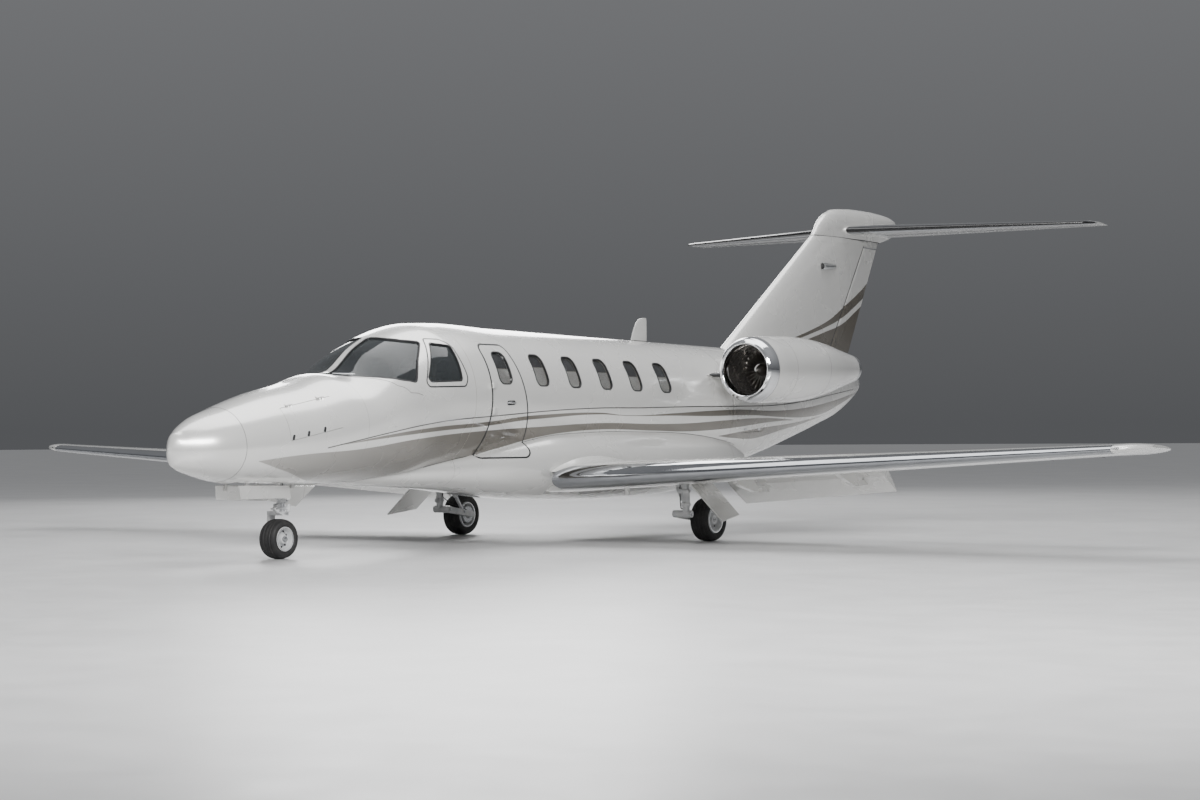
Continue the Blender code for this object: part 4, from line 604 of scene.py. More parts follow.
# Pearl paint. With curves, the taupe bands follow the fuselage and the fin.
def makeStriped(name, curves=True):
    material = newMaterial(name, **{"Metallic": 0.38, "Coat Weight": 1.0, "Coat Roughness": 0.04,
                                    "IOR": 1.5})
    vector = objectPlace(material)
    place = put(material, "ShaderNodeSeparateXYZ", {0: vector}).outputs
    station = maths(material, "ADD", place[1], lengthHalf)
    colour = paint["pearl"]
    if curves:
        height = place[2]
        first, low = paint["finFillFrom"]
        mask = softStep(material, curveOf(material, station, paint["finFill"]), height)
        for value, limit in ((height, low), (station, first)):
            mask = maths(material, "MULTIPLY", mask, maths(material, "GREATER_THAN", value, limit))
        for name in ("second", "third", "fourth", "fin"):
            band = bandBetween(material, station, height, paint[name + "Low"], paint[name + "High"])
            mask = maths(material, "MAXIMUM", mask, band)
        mask = maths(material, "MULTIPLY", mask, ramp(material, station, *paint["fade"]))
        colour = mixColour(material, mask, colour, paint["taupe"])
        middle = curveOf(material, station, paint["line"])
        gap = maths(material, "ABSOLUTE", maths(material, "SUBTRACT", height, middle))
        line = ramp(material, gap, paint["lineHalf"] - 0.001, paint["lineHalf"] + 0.001, 1.0, 0.0)
        ends = within(material, station, paint["line"][0][0], paint["line"][-1][0])
        colour = mixColour(material, maths(material, "MULTIPLY", line, ends), colour, paint["lineColour"])
    addPaintDetail(material, vector, place, station, colour)
    return material


# A finish whose colour and roughness wander between two values, with a fine bump.
def grained(name, dark, light, scale=8.0, rough=(0.3, 0.5), depth=0.3, distance=0.001, fine=None, **values):
    material = newMaterial(name, **values)
    vector = objectPlace(material)
    cloud = noise(material, vector, scale, 5.0)
    join(material, "Base Color", mixColour(material, ramp(material, cloud, 0.3, 0.72), dark, light))
    join(material, "Roughness", ramp(material, noise(material, vector, scale * 3.1, 4.0), 0.3, 0.75, *rough))
    bump(material, noise(material, vector, fine or scale * 30, 3.0), depth, distance)
    return material


# Bright metal with a fine grain.
def polished(name, colour, rough, grain=1):
    material = newMaterial(name, Metallic=1.0)
    vector = objectPlace(material)
    mapping = put(material, "ShaderNodeMapping", {"Vector": vector, "Scale": (grain, grain, grain)})
    fine = noise(material, mapping.outputs[0], 60.0, 3.0)
    cloud = ramp(material, noise(material, vector, 3.0), 0.3, 0.7)
    join(material, "Base Color", mixColour(material, cloud, tuple(0.86 * c for c in colour), colour))
    join(material, "Roughness", ramp(material, fine, 0.3, 0.7, *rough))
    bump(material, fine, 0.05, 0.0006)
    return material


striped = makeStriped("pearlStriped")
plainPearl = makeStriped("pearlPlain", False)
bright = polished("brightMetal", (0.86, 0.87, 0.89), (0.035, 0.10))
edgeMetal = polished("edgeMetal", (0.36, 0.37, 0.39), (0.03, 0.08))
steel = polished("steel", (0.56, 0.57, 0.58), (0.18, 0.34), 3)
titanium = polished("bladeMetal", (0.46, 0.44, 0.42), (0.20, 0.34), 4)
rubber = grained("tyreRubber", (0.012, 0.012, 0.013), (0.030, 0.029, 0.028), 14, (0.55, 0.8), 0.35, 0.0012,
                 380)
seal = grained("blackSeal", (0.008, 0.008, 0.009), (0.022, 0.022, 0.023), 20, (0.4, 0.6), 0.2, 0.0006)
boot = grained("darkBoot", (0.006, 0.006, 0.007), (0.016, 0.016, 0.017), 9, (0.10, 0.22), 0.1, 0.0006)
gearPaint = grained("gearPaint", (0.52, 0.53, 0.54), (0.70, 0.70, 0.70), 11, (0.28, 0.45), 0.2, 0.0008,
                    **{"Coat Weight": 0.3})
shade = grained("windowShade", (0.70, 0.68, 0.63), (0.80, 0.78, 0.73), 16, (0.5, 0.7), 0.3, 0.0008)
shadeDark = grained("shadeUpper", (0.055, 0.056, 0.06), (0.10, 0.10, 0.105), 16, (0.45, 0.65), 0.3, 0.0008)
liner = grained("cabinLiner", (0.50, 0.46, 0.39), (0.60, 0.56, 0.49), 6, (0.6, 0.8), 0.4, 0.0012, 240)
carpet = grained("carpet", (0.10, 0.085, 0.07), (0.20, 0.175, 0.14), 60, (0.8, 0.95), 0.9, 0.004, 300)
leather = grained("seatLeather", (0.34, 0.27, 0.19), (0.43, 0.35, 0.25), 7, (0.38, 0.58), 0.45, 0.0014, 210,
                  **{"Coat Weight": 0.1})
panelPlastic = grained("panelPlastic", (0.02, 0.02, 0.022), (0.045, 0.045, 0.05), 18, (0.45, 0.65), 0.4,
                       0.0008)
duct = grained("ductLiner", (0.10, 0.095, 0.09), (0.17, 0.16, 0.15), 6, (0.22, 0.35), 0.2, 0.001,
               **{"Metallic": 0.8})
markPaint = grained("markPaint", (0.80, 0.80, 0.79), (0.88, 0.88, 0.87), 12, (0.3, 0.4), 0.1, 0.0006)
screen = newMaterial("screenGlass", **{"Roughness": 0.08, "Coat Weight": 1.0})
screenCloud = ramp(screen, noise(screen, objectPlace(screen), 14, 2.0), 0.45, 0.6)
join(screen, "Base Color", mixColour(screen, screenCloud, (0.006, 0.010, 0.016), (0.012, 0.035, 0.055)))


# Tinted pane with a faint film of dust.
def makeGlass(name, tint, rough=0.02, weight=0.9):
    material = newMaterial(name, **{"Transmission Weight": weight, "IOR": 1.38, "Specular IOR Level": 0.3})
    vector = objectPlace(material)
    cloud = ramp(material, noise(material, vector, 3.0), 0.35, 0.7)
    join(material, "Base Color", mixColour(material, cloud, tint, tuple(0.8 * c for c in tint)))
    join(material, "Roughness", ramp(material, noise(material, vector, 9.0), 0.3, 0.8, rough, rough * 2.5))
    return material


windshieldGlass = makeGlass("windshieldGlass", (0.20, 0.225, 0.24), 0.01)
cabinGlass = makeGlass("cabinGlass", (0.66, 0.67, 0.68), weight=1.0)

# The slot that goes with a material. The others go with dark_plastic.
slotOf = {
    "pearlStriped": "pearl_paint", "pearlPlain": "pearl_paint", "markPaint": "pearl_paint",
    "brightMetal": "polished_metal", "edgeMetal": "polished_metal", "steel": "polished_metal",
    "bladeMetal": "titanium_blades", "tyreRubber": "tyre_rubber", "darkBoot": "tyre_rubber",
    "gearPaint": "gear_paint", "seatLeather": "seat_leather",
    "windshieldGlass": "window_glass", "cabinGlass": "window_glass",
}
print("materials made")

# Fuselage skins

skin = {
    "fine": 0.024,
    "coarse": 0.055,
    "wall": 0.050,              # skin, frames and trim
    "sheet": 0.0015,            # a skin laid over its solid
    "noseJoint": 0.68, "cockpitJoint": 2.24, "cabinJoint": 3.98, "tailJoint": 9.45, "hairline": 0.001,
    "windowFirst": 5.165, "windowPitch": 0.653, "windowLength": 0.235, "windowCorner": 0.075,
    "windowLow": 1.835, "windowHigh": 2.195, "doorWindowFront": 4.445,
    # x and height of the bottom, then station and height of the rear edge, then x and height of the rest
    "glassLow": [(0.060, 1.982), (0.23, 1.975), (0.40, 1.965), (0.55, 1.957), (0.655, 1.945),
                 (0.761, 1.916)],
    "glassRear": [(2.99, 1.896), (3.075, 2.02), (3.17, 2.145), (3.275, 2.25), (3.385, 2.353)],
    "glassHigh": [(0.40, 2.372), (0.25, 2.392), (0.047, 2.405), (0.050, 2.30), (0.054, 2.15), (0.058, 2.05)],
    "sideWindow": [(3.18, 1.905), (3.75, 1.925), (3.785, 2.32), (3.50, 2.345)],
    "sideFrame": [(3.12, 1.845), (3.80, 1.858), (3.862, 1.95), (3.82, 2.18), (3.81, 2.33), (3.68, 2.392),
                  (3.47, 2.395)],
    "doorFront": 4.28, "doorBottom": 1.05, "doorTop": 2.345,
    "noseBay": [(1.20, 1.265), (1.88, 1.400), (1.88, 1.740), (1.20, 1.610)],
    "tailBay": [(9.72, 1.30), (10.42, 1.32), (10.42, 1.80), (9.72, 1.78)],
}
hairline, sheet = skin["hairline"], skin["sheet"]


# Upright rounded window, its height falling with the fuselage's slope.
def windowOutline(front, grow=0.0):
    rise = lineRise(front)
    low, high = skin["windowLow"] + rise - grow, skin["windowHigh"] + rise + grow
    rear = front + skin["windowLength"] + grow
    first = front - grow
    return roundedOutline([(first, low), (rear, low), (rear, high), (first, high)],
                          skin["windowCorner"] + grow)


# Door's edge seen from the side: its rear edge leans forward.
def doorOutline(grow=0.0):
    low, high = skin["doorBottom"] - grow, skin["doorTop"] + grow
    front = skin["doorFront"] - grow

    def rear(z):
        return 4.93 - 0.22 * (z - 1.65) + grow

    return roundedOutline([(front, low), (rear(low), low), (rear(high), high), (front, high)], 0.09 + grow)


# Place on the skin, as station and arc, of points given in x and height and seen from the front.
def throughFront(outline):
    x, z = np.array(outline).T
    s = np.linspace(2.24, 3.62, 700)
    top, bottom, half, middle = smoothRows(hullTable, s)
    reach = np.where(z[:, None] >= middle, top - middle, middle - bottom)
    outside = (x[:, None] / half) ** 2 + ((z[:, None] - middle) / reach) ** 2 - 1
    k = np.clip(np.argmax(outside <= 0, axis=1), 1, len(s) - 1)
    row = np.arange(len(outline))
    f0, f1 = outside[row, k - 1], outside[row, k]
    station = s[k - 1] + np.clip(f0 / np.maximum(f0 - f1, 1e-9), 0, 1) * (s[k] - s[k - 1])
    top, bottom, half, middle = smoothRows(hullTable, station)
    reach = np.where(z >= middle, top - middle, middle - bottom)
    return np.stack([station, np.arctan2((z - middle) / reach, x / half) * arcScale], -1)


# Piece of the fuselage's skin between two stations, with openings. Its mesh is finer in the given spans of
# stations and of degrees from port upwards.
def hullSkin(name, first, last, outlines, depth, stations, degrees, lift=0.0, inner=None, fine=None,
             corners=()):
    fine = fine or skin["fine"]
    us = spread(first, last, skin["coarse"], stations, fine)
    vs = spread(-math.pi / 2 * arcScale, 1.5 * math.pi * arcScale, skin["coarse"],
                [(math.radians(a) * arcScale, math.radians(b) * arcScale) for a, b in degrees], fine)
    flat, faces = openedGrid(us, vs, outlines, corners)
    points, faces = outwards(*weld(hullPoint(flat[:, 0], flat[:, 1] / arcScale, lift), faces))
    outer = len(faces)
    points, faces = thicken(points, faces, depth)
    return piece(name, points, faces, [striped, inner or striped], part=np.arange(len(faces)) >= outer)


# Nose cone, closed behind, with its seam
cone = np.concatenate([[0.0], skin["noseJoint"] * np.linspace(0.02, 1, 60) ** 1.9])
angles = np.arange(120) * tau / 120
coneGrid = np.concatenate([hullPoint(cone[:, None], angles),
                           hullPoint(skin["noseJoint"] - hairline, angles, -0.02)[None]])
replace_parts(piece("radome", *closedEnds(coneGrid), plainPearl), "nose_cone")
piece("radome_seam", *tube(hullPoint(0.6795, np.append(angles, 0.0)), 0.0014, 8, False), seal)

# Nose, open over the baggage bays and the wheel's well
noseBay = roundedOutline(skin["noseBay"], 0.0)
well = {"front": 0.82, "rear": 2.16, "halfWidth": 0.155}
wellS = np.linspace(well["front"], well["rear"], 40)
wellAngle = np.arccos(well["halfWidth"] / smoothRows(hullTable, wellS)[2]) * arcScale
wellEnd = math.pi / 2 * arcScale + 0.2
wellPort = np.concatenate([np.stack([wellS, -wellAngle], -1),
                           [(well["rear"], -wellEnd), (well["front"], -wellEnd)]])
hullSkin("nose_skin", skin["noseJoint"] + hairline, skin["cockpitJoint"] - hairline,
         [toPlane(noseBay), toPlane(noseBay, -1), wellPort, otherSide(wellPort)], sheet, [(0.79, 2.19)],
         [(-90, -70), (-5, 62), (118, 185), (250, 270)], skinLift,
         corners=np.concatenate([toPlane(skin["noseBay"], side) for side in (1, -1)]))

# Cockpit
glassCorners = [throughFront(skin["glassLow"]), toPlane(skin["glassRear"]), throughFront(skin["glassHigh"])]
glassRadii = [0.03] + [0.3] * 5 + [0.035] + [0.5] * 3 + [0.03] + [0.3] * 2 + [0.03] + [0.3] * 3
frontPlane = roundedOutline(np.concatenate(glassCorners), glassRadii)
sideOutline = roundedOutline(skin["sideWindow"], 0.035)
cockpit = hullSkin("cockpit_skin", skin["cockpitJoint"], skin["cabinJoint"] - hairline,
                   [frontPlane, otherSide(frontPlane), toPlane(sideOutline), toPlane(sideOutline, -1)],
                   skin["wall"], [(2.3, 3.85)], [(8, 172)], 0.0, liner, 0.024)
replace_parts(cockpit, "cockpit_shell")

# Cabin
portFronts, starFronts = ([skin["windowFirst"] + skin["windowPitch"] * k for k in range(first, 5)]
                          for first in (0, -1))
cabinOutlines = ([toPlane(windowOutline(f)) for f in portFronts]
                 + [toPlane(windowOutline(f), -1) for f in starFronts] + [toPlane(doorOutline())])
cabin = hullSkin("cabin_skin", skin["cabinJoint"] + hairline, skin["tailJoint"] - hairline, cabinOutlines,
                 skin["wall"],
                 [(f - 0.03, f + 0.27) for f in starFronts] + [(4.24, 5.10)], [(-56, 56), (136, 175)],
                 0.0, liner, 0.030)
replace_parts(cabin, "cabin_shell")

# Tail cone
tailBay = roundedOutline(skin["tailBay"], 0.0)
hullSkin("tail_skin", skin["tailJoint"] + hairline, 14.335, [toPlane(tailBay)], sheet, [(9.68, 10.46)],
         [(-32, 16)], skinLift)
print("fuselage skins made")

# Belly fairing, open where the door's skirt lies, with a flat rear face
us = spread(*bellyEnds, 0.085, [(4.22, 5.12)], 0.024)
vs = spread(-math.pi * 0.5 * arcScale, 1.5 * math.pi * arcScale, 0.060,
            [(math.radians(-10) * arcScale, math.radians(100) * arcScale)], 0.032)
doorEdge = doorOutline()
doorInBelly = np.stack([doorEdge[:, 0], bellyAngle(doorEdge[:, 0], doorEdge[:, 1]) * arcScale], -1)
flat, faces = openedGrid(us, vs, [doorInBelly])
points, faces = awayFrom(*weld(bellyPoint(flat[:, 0], flat[:, 1] / arcScale), faces), at(0, 6.5, 0.93))
rearRing = bellyPoint(bellyEnds[1], np.linspace(-math.pi / 2, 1.5 * math.pi, 120, endpoint=False))
rearMiddle = np.broadcast_to(at(0, bellyEnds[1], 0.98), rearRing.shape)
rearGrid = np.array([rearRing, 0.5 * rearRing + 0.5 * rearMiddle, rearMiddle])
rearFace = facing(*gridMesh(rearGrid, False, True), (0, 1, 0))
belly = piece("belly_skin", *joined([thicken(points, faces, 0.004), rearFace]), plainPearl)
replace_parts(belly, "belly_fairing")

# Dark seam where the fairing meets the fuselage
s = np.linspace(3.55, 9.72, 160)
angle = np.linspace(0, math.pi / 2, 400)
onBelly = bellyPoint(s[:, None], angle)
beyond = onBelly[..., 0] > np.abs(sidePoint(s[:, None], onBelly[..., 2])[..., 0])
seamPath = bellyPoint(s, angle[np.argmin(beyond, axis=1)], 0.0008)
for word, side, part, body in (("left_0", 1, s < 4.22, "airframe"), ("left_1", 1, s > 5.02, "airframe"),
                               ("right_0", -1, s > 0, "airframe"),
                               ("door", 1, (s > 4.29) & (s < 5.01), "cabin_door")):
    piece(f"fairing_seam_{word}", *tube(seamPath[part] * np.array([side, 1, 1]), 0.0035, 8), seal, body)

# Camera, floor and light
cameraData = bpy.data.cameras.new("camera")
cameraData.lens = 72.135
cameraData.sensor_width = 36
cameraData.clip_end = 200
camera = linked("camera", cameraData)
cameraPlace = Matrix.Translation((17.614, -25.223, 1.404))
for angle, axis in ((35.104, "Z"), (90.62, "X"), (-0.324, "Z")):
    cameraPlace = cameraPlace @ Matrix.Rotation(math.radians(angle), 4, axis)
camera.matrix_world = cameraPlace
bpy.context.scene.camera = camera

floorMaterial = grained("floorPale", (0.60, 0.60, 0.60), (0.66, 0.66, 0.66), 0.7, (0.32, 0.42), 0.05, 0.001,
                        40)
turn = np.arange(96) * tau / 96
radius = np.array([0.0, 8.0, 20.0, 60.0, 140.0])[:, None]
floorGrid = np.stack([radius * np.cos(turn), radius * np.sin(turn), np.full((5, 96), -0.001)], -1)
floor = meshObject("floor", *facing(*gridMesh(floorGrid, False, True), (0, 0, 1)), [floorMaterial])

world = bpy.data.worlds.new("studio")
bpy.context.scene.world = world
world.use_nodes = True
tree = world.node_tree
place, split, shades = (tree.nodes.new("ShaderNode" + kind)
                        for kind in ("TexCoord", "SeparateXYZ", "ValToRGB"))
background = tree.nodes["Background"]
for source, socket in ((place.outputs["Generated"], split.inputs[0]), (split.outputs[2], shades.inputs[0]),
                       (shades.outputs[0], background.inputs[0])):
    tree.links.new(source, socket)
for k, (height, colour) in enumerate(((0.0, (0.17, 0.175, 0.185, 1)), (0.75, (0.74, 0.75, 0.77, 1)))):
    shades.color_ramp.elements[k].position = height
    shades.color_ramp.elements[k].color = colour
background.inputs[1].default_value = 0.55


def areaLight(name, place, aim, size, power):
    light = bpy.data.lights.new(name, "AREA")
    light.shape = "RECTANGLE"
    light.size, light.size_y = size
    light.energy = power
    obj = linked(name, light)
    obj.location = place
    obj.rotation_euler = (Vector(aim) - Vector(place)).to_track_quat("-Z", "Y").to_euler()


areaLight("key", (13, -15, 9), (0, -1, 1.2), (8, 4), 3500)
areaLight("overhead", (0, 0, 14), (0, 0, 0), (12, 18), 2600)
areaLight("rear", (-12, 12, 9), (0, 3, 2), (9, 6), 1400)
print("stage made")

# Windows


# Place on the skin of a point given by station and arc.
def planePoint(flat, lift):
    return hullPoint(flat[..., 0], flat[..., 1] / arcScale, lift)


# Thin plate inside an outline: the outline shrunk towards its middle, ring by ring.
def plate(outline, lift, depth, mapping=planePoint, rings=9):
    t = np.linspace(0, 1, rings)[:, None, None]
    middle = (outline.max(0) + outline.min(0)) / 2
    grid = mapping(middle + (outline[None] - middle) * t, lift)
    return thicken(*outwards(*gridMesh(grid, False, True)), depth)


# A closed profile of (out from the outline, above the skin) carried round an outline.
def bandRound(outline, profile, mapping=planePoint):
    return ringMesh(np.array([mapping(grown(outline, out), lift) for out, lift in profile]), True)


# Mapping of station and height to the skin of one side, door skirt included.
def flatSide(side):
    def mapping(flat, lift):
        s, z = flat[..., 0], flat[..., 1]
        onFairing = np.clip(s, *bellyEnds)
        point = sidePoint(s, z, side, lift)
        top = smoothRows(bellyTable, onFairing)[3]
        out = bellyPoint(onFairing, bellyAngle(onFairing, np.minimum(z, top)), lift)
        further = (out[..., 0] > np.abs(point[..., 0])) & (z < top)
        point[..., 0] = np.where(further, side * out[..., 0], point[..., 0])
        return point
    return mapping


sealProfile = [(0.010, -0.003), (0.010, 0.0010), (0.007, 0.0026), (0.001, 0.0026), (-0.003, 0.0006),
               (-0.0045, -0.020), (-0.001, -0.023), (0.002, -0.020), (0.003, -0.003)]
thinProfile = [(0.0082, -0.002), (0.0080, 0.0010), (-0.0080, 0.0010), (-0.0082, -0.002)]


# Glass set back in its opening, and the black seal round it.
def fitPane(name, outline, glass, body="airframe", wide=1.0, rise=0.0, rings=9):
    pane = piece(name + "_glass", *plate(outline, -0.017, 0.006, rings=rings), glass, body)
    profile = [(out * wide if out > 0.004 else out, lift + rise * (lift > 0)) for out, lift in sealProfile]
    piece(name + "_seal", *bandRound(outline, profile), seal, body)
    return pane


for (side, word), plane in zip(bothSides, (frontPlane, otherSide(frontPlane))):
    pane = fitPane(f"windshield_{word}", plane, windshieldGlass, wide=1.5)
    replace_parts(pane, f"windshield_{word}")
    pane = fitPane(f"side_window_{word}", toPlane(sideOutline, side), windshieldGlass, wide=1.3)
    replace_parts(pane, f"side_window_{word}")
    framePlane = toPlane(roundedOutline(skin["sideFrame"], (0.05, 0.07, 0.3, 0.3, 0.1, 0.1, 0.05)), side)
    piece(f"side_window_frame_{word}", *bandRound(framePlane, thinProfile), seal)


# The part of a window's outline above or below a height.
def cutAt(outline, height, side, upper):
    s, z = outline[:, 0], outline[:, 1]
    return toPlane(np.stack([s, np.maximum(z, height) if upper else np.minimum(z, height)], -1), side)


# Pane, seal and the pleated shade behind, grey above and pale below.
def cabinWindow(name, front, side, body, split):
    outline = windowOutline(front)
    rise = skinLift if body == "cabin_door" else 0.0
    pane = fitPane(name, toPlane(outline, side), cabinGlass, body, 1.5, rise, 4)
    middle = outline[:, 1].min() * (1 - split) + outline[:, 1].max() * split
    for upper, word, material, lift in ((True, "upper", shadeDark, -0.034), (False, "lower", shade, -0.030)):
        half = cutAt(grown(outline, 0.003), middle, side, upper)
        piece(f"{name}_{word}", *plate(half, lift, 0.003, rings=4), material, body)
    rail = np.stack([np.linspace(front + 0.004, front + skin["windowLength"] - 0.004, 12),
                     np.full(12, middle)], -1)
    piece(f"{name}_rail", *tube(planePoint(toPlane(rail, side), -0.030), 0.004, 8), liner, body)
    trim = [(0.016, -0.0495), (0.016, -0.056), (0.008, -0.060), (0.0, -0.058), (-0.004, -0.050),
            (-0.004, -0.036), (0.000, -0.036)]
    piece(f"{name}_reveal", *bandRound(toPlane(outline, side), trim), liner, body)
    return pane


splits = [0.62, 0.55, 0.58, 0.50, 0.55, 0.60]       # where the shades stand in their windows
for (side, word), fronts in zip(bothSides, (portFronts, starFronts)):
    made = [cabinWindow(f"cabin_window_{word}_{k}", f, side, "airframe", splits[k])
            for k, f in enumerate(fronts)]
    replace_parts(made[0], f"cabin_windows_{word}")


# Entry door

# Outer skin of a door or lid, inside its outline in station and height. A lower material goes where the
# belly fairing is the outer form.
def lidSkin(name, keep, side, body, holes=(), corners=(), lift=skinLift, step=0.018, lower=None):
    low, high = keep.min(0) - 0.004, keep.max(0) + 0.004
    counts = np.maximum(((high - low) / step).astype(int), 6)
    us, vs = (np.linspace(low[k], high[k], counts[k]) for k in (0, 1))
    flat, faces = openedGrid(us, vs, holes, corners, keep)
    points, faces = thicken(*outwards(*weld(flatSide(side)(flat, lift), faces)), 0.0016)
    middle = points[faces].mean(1)
    hull = sidePoint(middle[:, 1] + lengthHalf, middle[:, 2], side)[:, 0]
    onFairing = np.abs(middle[:, 0]) > np.abs(hull) + lift + 0.003
    return piece(name, points, faces, [striped, lower] if lower else striped, body, part=onFairing)


doorWindow = windowOutline(skin["doorWindowFront"])
lidSkin("door_skin", doorOutline(-0.005), 1, "cabin_door", [doorWindow], step=0.0125, lower=plainPearl)
flat, faces = openedGrid(np.linspace(4.30, 5.04, 42), np.linspace(1.08, 2.32, 70),
                         [windowOutline(skin["doorWindowFront"], 0.02)], keep=doorOutline(-0.035))
points, faces = outwards(*weld(sidePoint(flat[:, 0], flat[:, 1], 1, -0.052), faces))
piece("door_liner", *thicken(points, faces, 0.003), liner, "cabin_door", "cabin_carpet")
doorPane = cabinWindow("door_window", skin["doorWindowFront"], 1, "cabin_door", 0.5)
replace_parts(doorPane, "door_window")
doorSeal = [(0.0165, -0.006), (0.0160, 0.0016), (-0.0036, 0.0028), (-0.0040, -0.006)]
piece("door_seal", *bandRound(doorOutline(-0.001), doorSeal, flatSide(1)), seal)

handle = roundedOutline([(4.550, 1.648), (4.700, 1.654), (4.700, 1.704), (4.550, 1.698)], 0.022, 0.004)
# Black patch over the skin: painted shade of the handle's recess.
piece("handle_recess_shade", *plate(handle, 0.0032, 0.002, flatSide(1), 5), seal, "cabin_door")
handleRim = [(0.004, 0.001), (0.003, 0.0050), (0.0, 0.0052), (-0.001, 0.001)]
piece("handle_rim", *bandRound(handle, handleRim, flatSide(1)), steel, "cabin_door")
lever = np.stack([np.linspace(4.545, 4.705, 14), 1.675 + 0.004 * np.sin(np.linspace(0, math.pi, 14))], -1)
leverRadius = 0.0125 * np.sin(np.linspace(0.5, 2.64, 14))
piece("handle_lever", *tube(flatSide(1)(lever, 0.011), leverRadius, 12), steel, "cabin_door")

# Baggage lids with their latches
latchRim = [(0.005, 0.002), (0.003, 0.0048), (0.0, 0.0048), (0.0, 0.002)]
for side, word in bothSides:
    door, skinOf = f"nose_baggage_door_{word}", flatSide(side)
    corners = np.array(skin["noseBay"]) + 0.004 * np.array([(1, 1.2), (-1, 1.2), (-1, -1.2), (1, -1.2)])
    lidSkin(f"nose_lid_skin_{word}", grown(noseBay, -0.004), side, door, corners=corners, step=0.0125)
    line = np.stack([np.full(30, 1.1975), np.linspace(1.272, 1.603, 30)], -1)
    piece(f"nose_lid_line_{word}", *tube(skinOf(line, 0.0002), 0.0024, 8), seal)
    for k, (s, z) in enumerate(((1.232, 1.300), (1.425, 1.338), (1.640, 1.380))):
        latch = roundedOutline([(s - 0.018, z - 0.024), (s + 0.004, z - 0.024), (s + 0.022, z + 0.030),
                                (s, z + 0.030)], 0.009, 0.004)
        piece(f"nose_latch_{word}_{k}", *plate(latch, 0.0042, 0.002, skinOf, 4), seal, door)
        piece(f"nose_latch_rim_{word}_{k}", *bandRound(latch, latchRim, skinOf), steel, door)
lidSkin("tail_lid_skin", grown(tailBay, -0.006), 1, "tail_baggage_door", lift=0.0008)
for k, s in enumerate((9.86, 10.28)):
    latch = roundedOutline([(s - 0.04, 1.335), (s + 0.04, 1.336), (s + 0.04, 1.366), (s - 0.04, 1.365)],
                           0.012, 0.004)
    piece(f"tail_latch_{k}", *plate(latch, 0.0036, 0.0018, flatSide(1), 4), steel, "tail_baggage_door")
print("windows, doors and lids made")

# Wings

wing = {
    # each pair: at the root, at the tip
    "rootX": 1.0, "tipX": 7.8, "leading": (5.25, 5.55), "trailing": (7.69, 6.50), "height": (0.78, 1.135),
    "slope": (0.022, 0.060), "ratio": (0.140, 0.115),
    "front": 0.11, "rear": 0.724,       # share of the chord where the polished edge ends and the flaps begin
    "flap": (2.254, 4.575), "aileron": (4.614, 7.556),
    "well": [(1.12, 6.46), (2.06, 6.46), (2.06, 7.02), (1.12, 7.02)],
}
# leading station, chord, height and slope at the middle and at the tip
tailSurface = {"root": (13.72, 1.42, 4.285, 0.021), "tip": (15.02, 0.56, 4.305, 0.021), "half": 3.5,
               "ratio": 0.105}


# Value of the wing at a distance from the middle, changing evenly from root to tip.
def alongWing(x, key):
    root, tip = wing[key]
    return root + (np.abs(x) - wing["rootX"]) / (wing["tipX"] - wing["rootX"]) * (tip - root)


# Leading station, chord, height and slope of the wing.
def wingRow(x):
    leading, trailing, height, slope = (alongWing(x, k) for k in ("leading", "trailing", "height", "slope"))
    return leading, trailing - leading, height, slope


def tailRow(x):
    t = np.abs(x) / tailSurface["half"]
    return tuple(a + (b - a) * t for a, b in zip(tailSurface["root"], tailSurface["tip"]))


# Half thickness of a four-digit section.
def halfThick(c, ratio):
    c = np.clip(c, 0, 1)
    return 5 * ratio * (0.2969 * np.sqrt(c) - 0.1260 * c - 0.3516 * c**2 + 0.2843 * c**3 - 0.1036 * c**4)


# Point of a wing's skin. A positive place c is on top, a negative one below, 0 the leading edge.
def sectionAt(x, c, row, ratio, lift=0.0):
    leading, chord, height, slope = row
    place = np.abs(c)
    camber = 0.08 * place * (1 - place) * chord
    half = (halfThick(place, ratio) + 0.003 * place) * chord + lift
    nose = np.minimum(place / 0.01, 1)
    z = height + camber - slope * place * chord + np.sign(c) * half
    return at(x, leading + place * chord - lift * (1 - nose), z)


# Places along the chord, closer together at the leading edge.
def bowed(first, last, count):
    low, high = math.acos(1 - 2 * first), math.acos(1 - 2 * last)
    return (1 - np.cos(np.linspace(low, high, count))) / 2


# Places from the top round the leading edge to the underside.
def roundEdge(last, count):
    places = bowed(0, last, count)
    return np.concatenate([places[::-1], -places[1:]])[None]


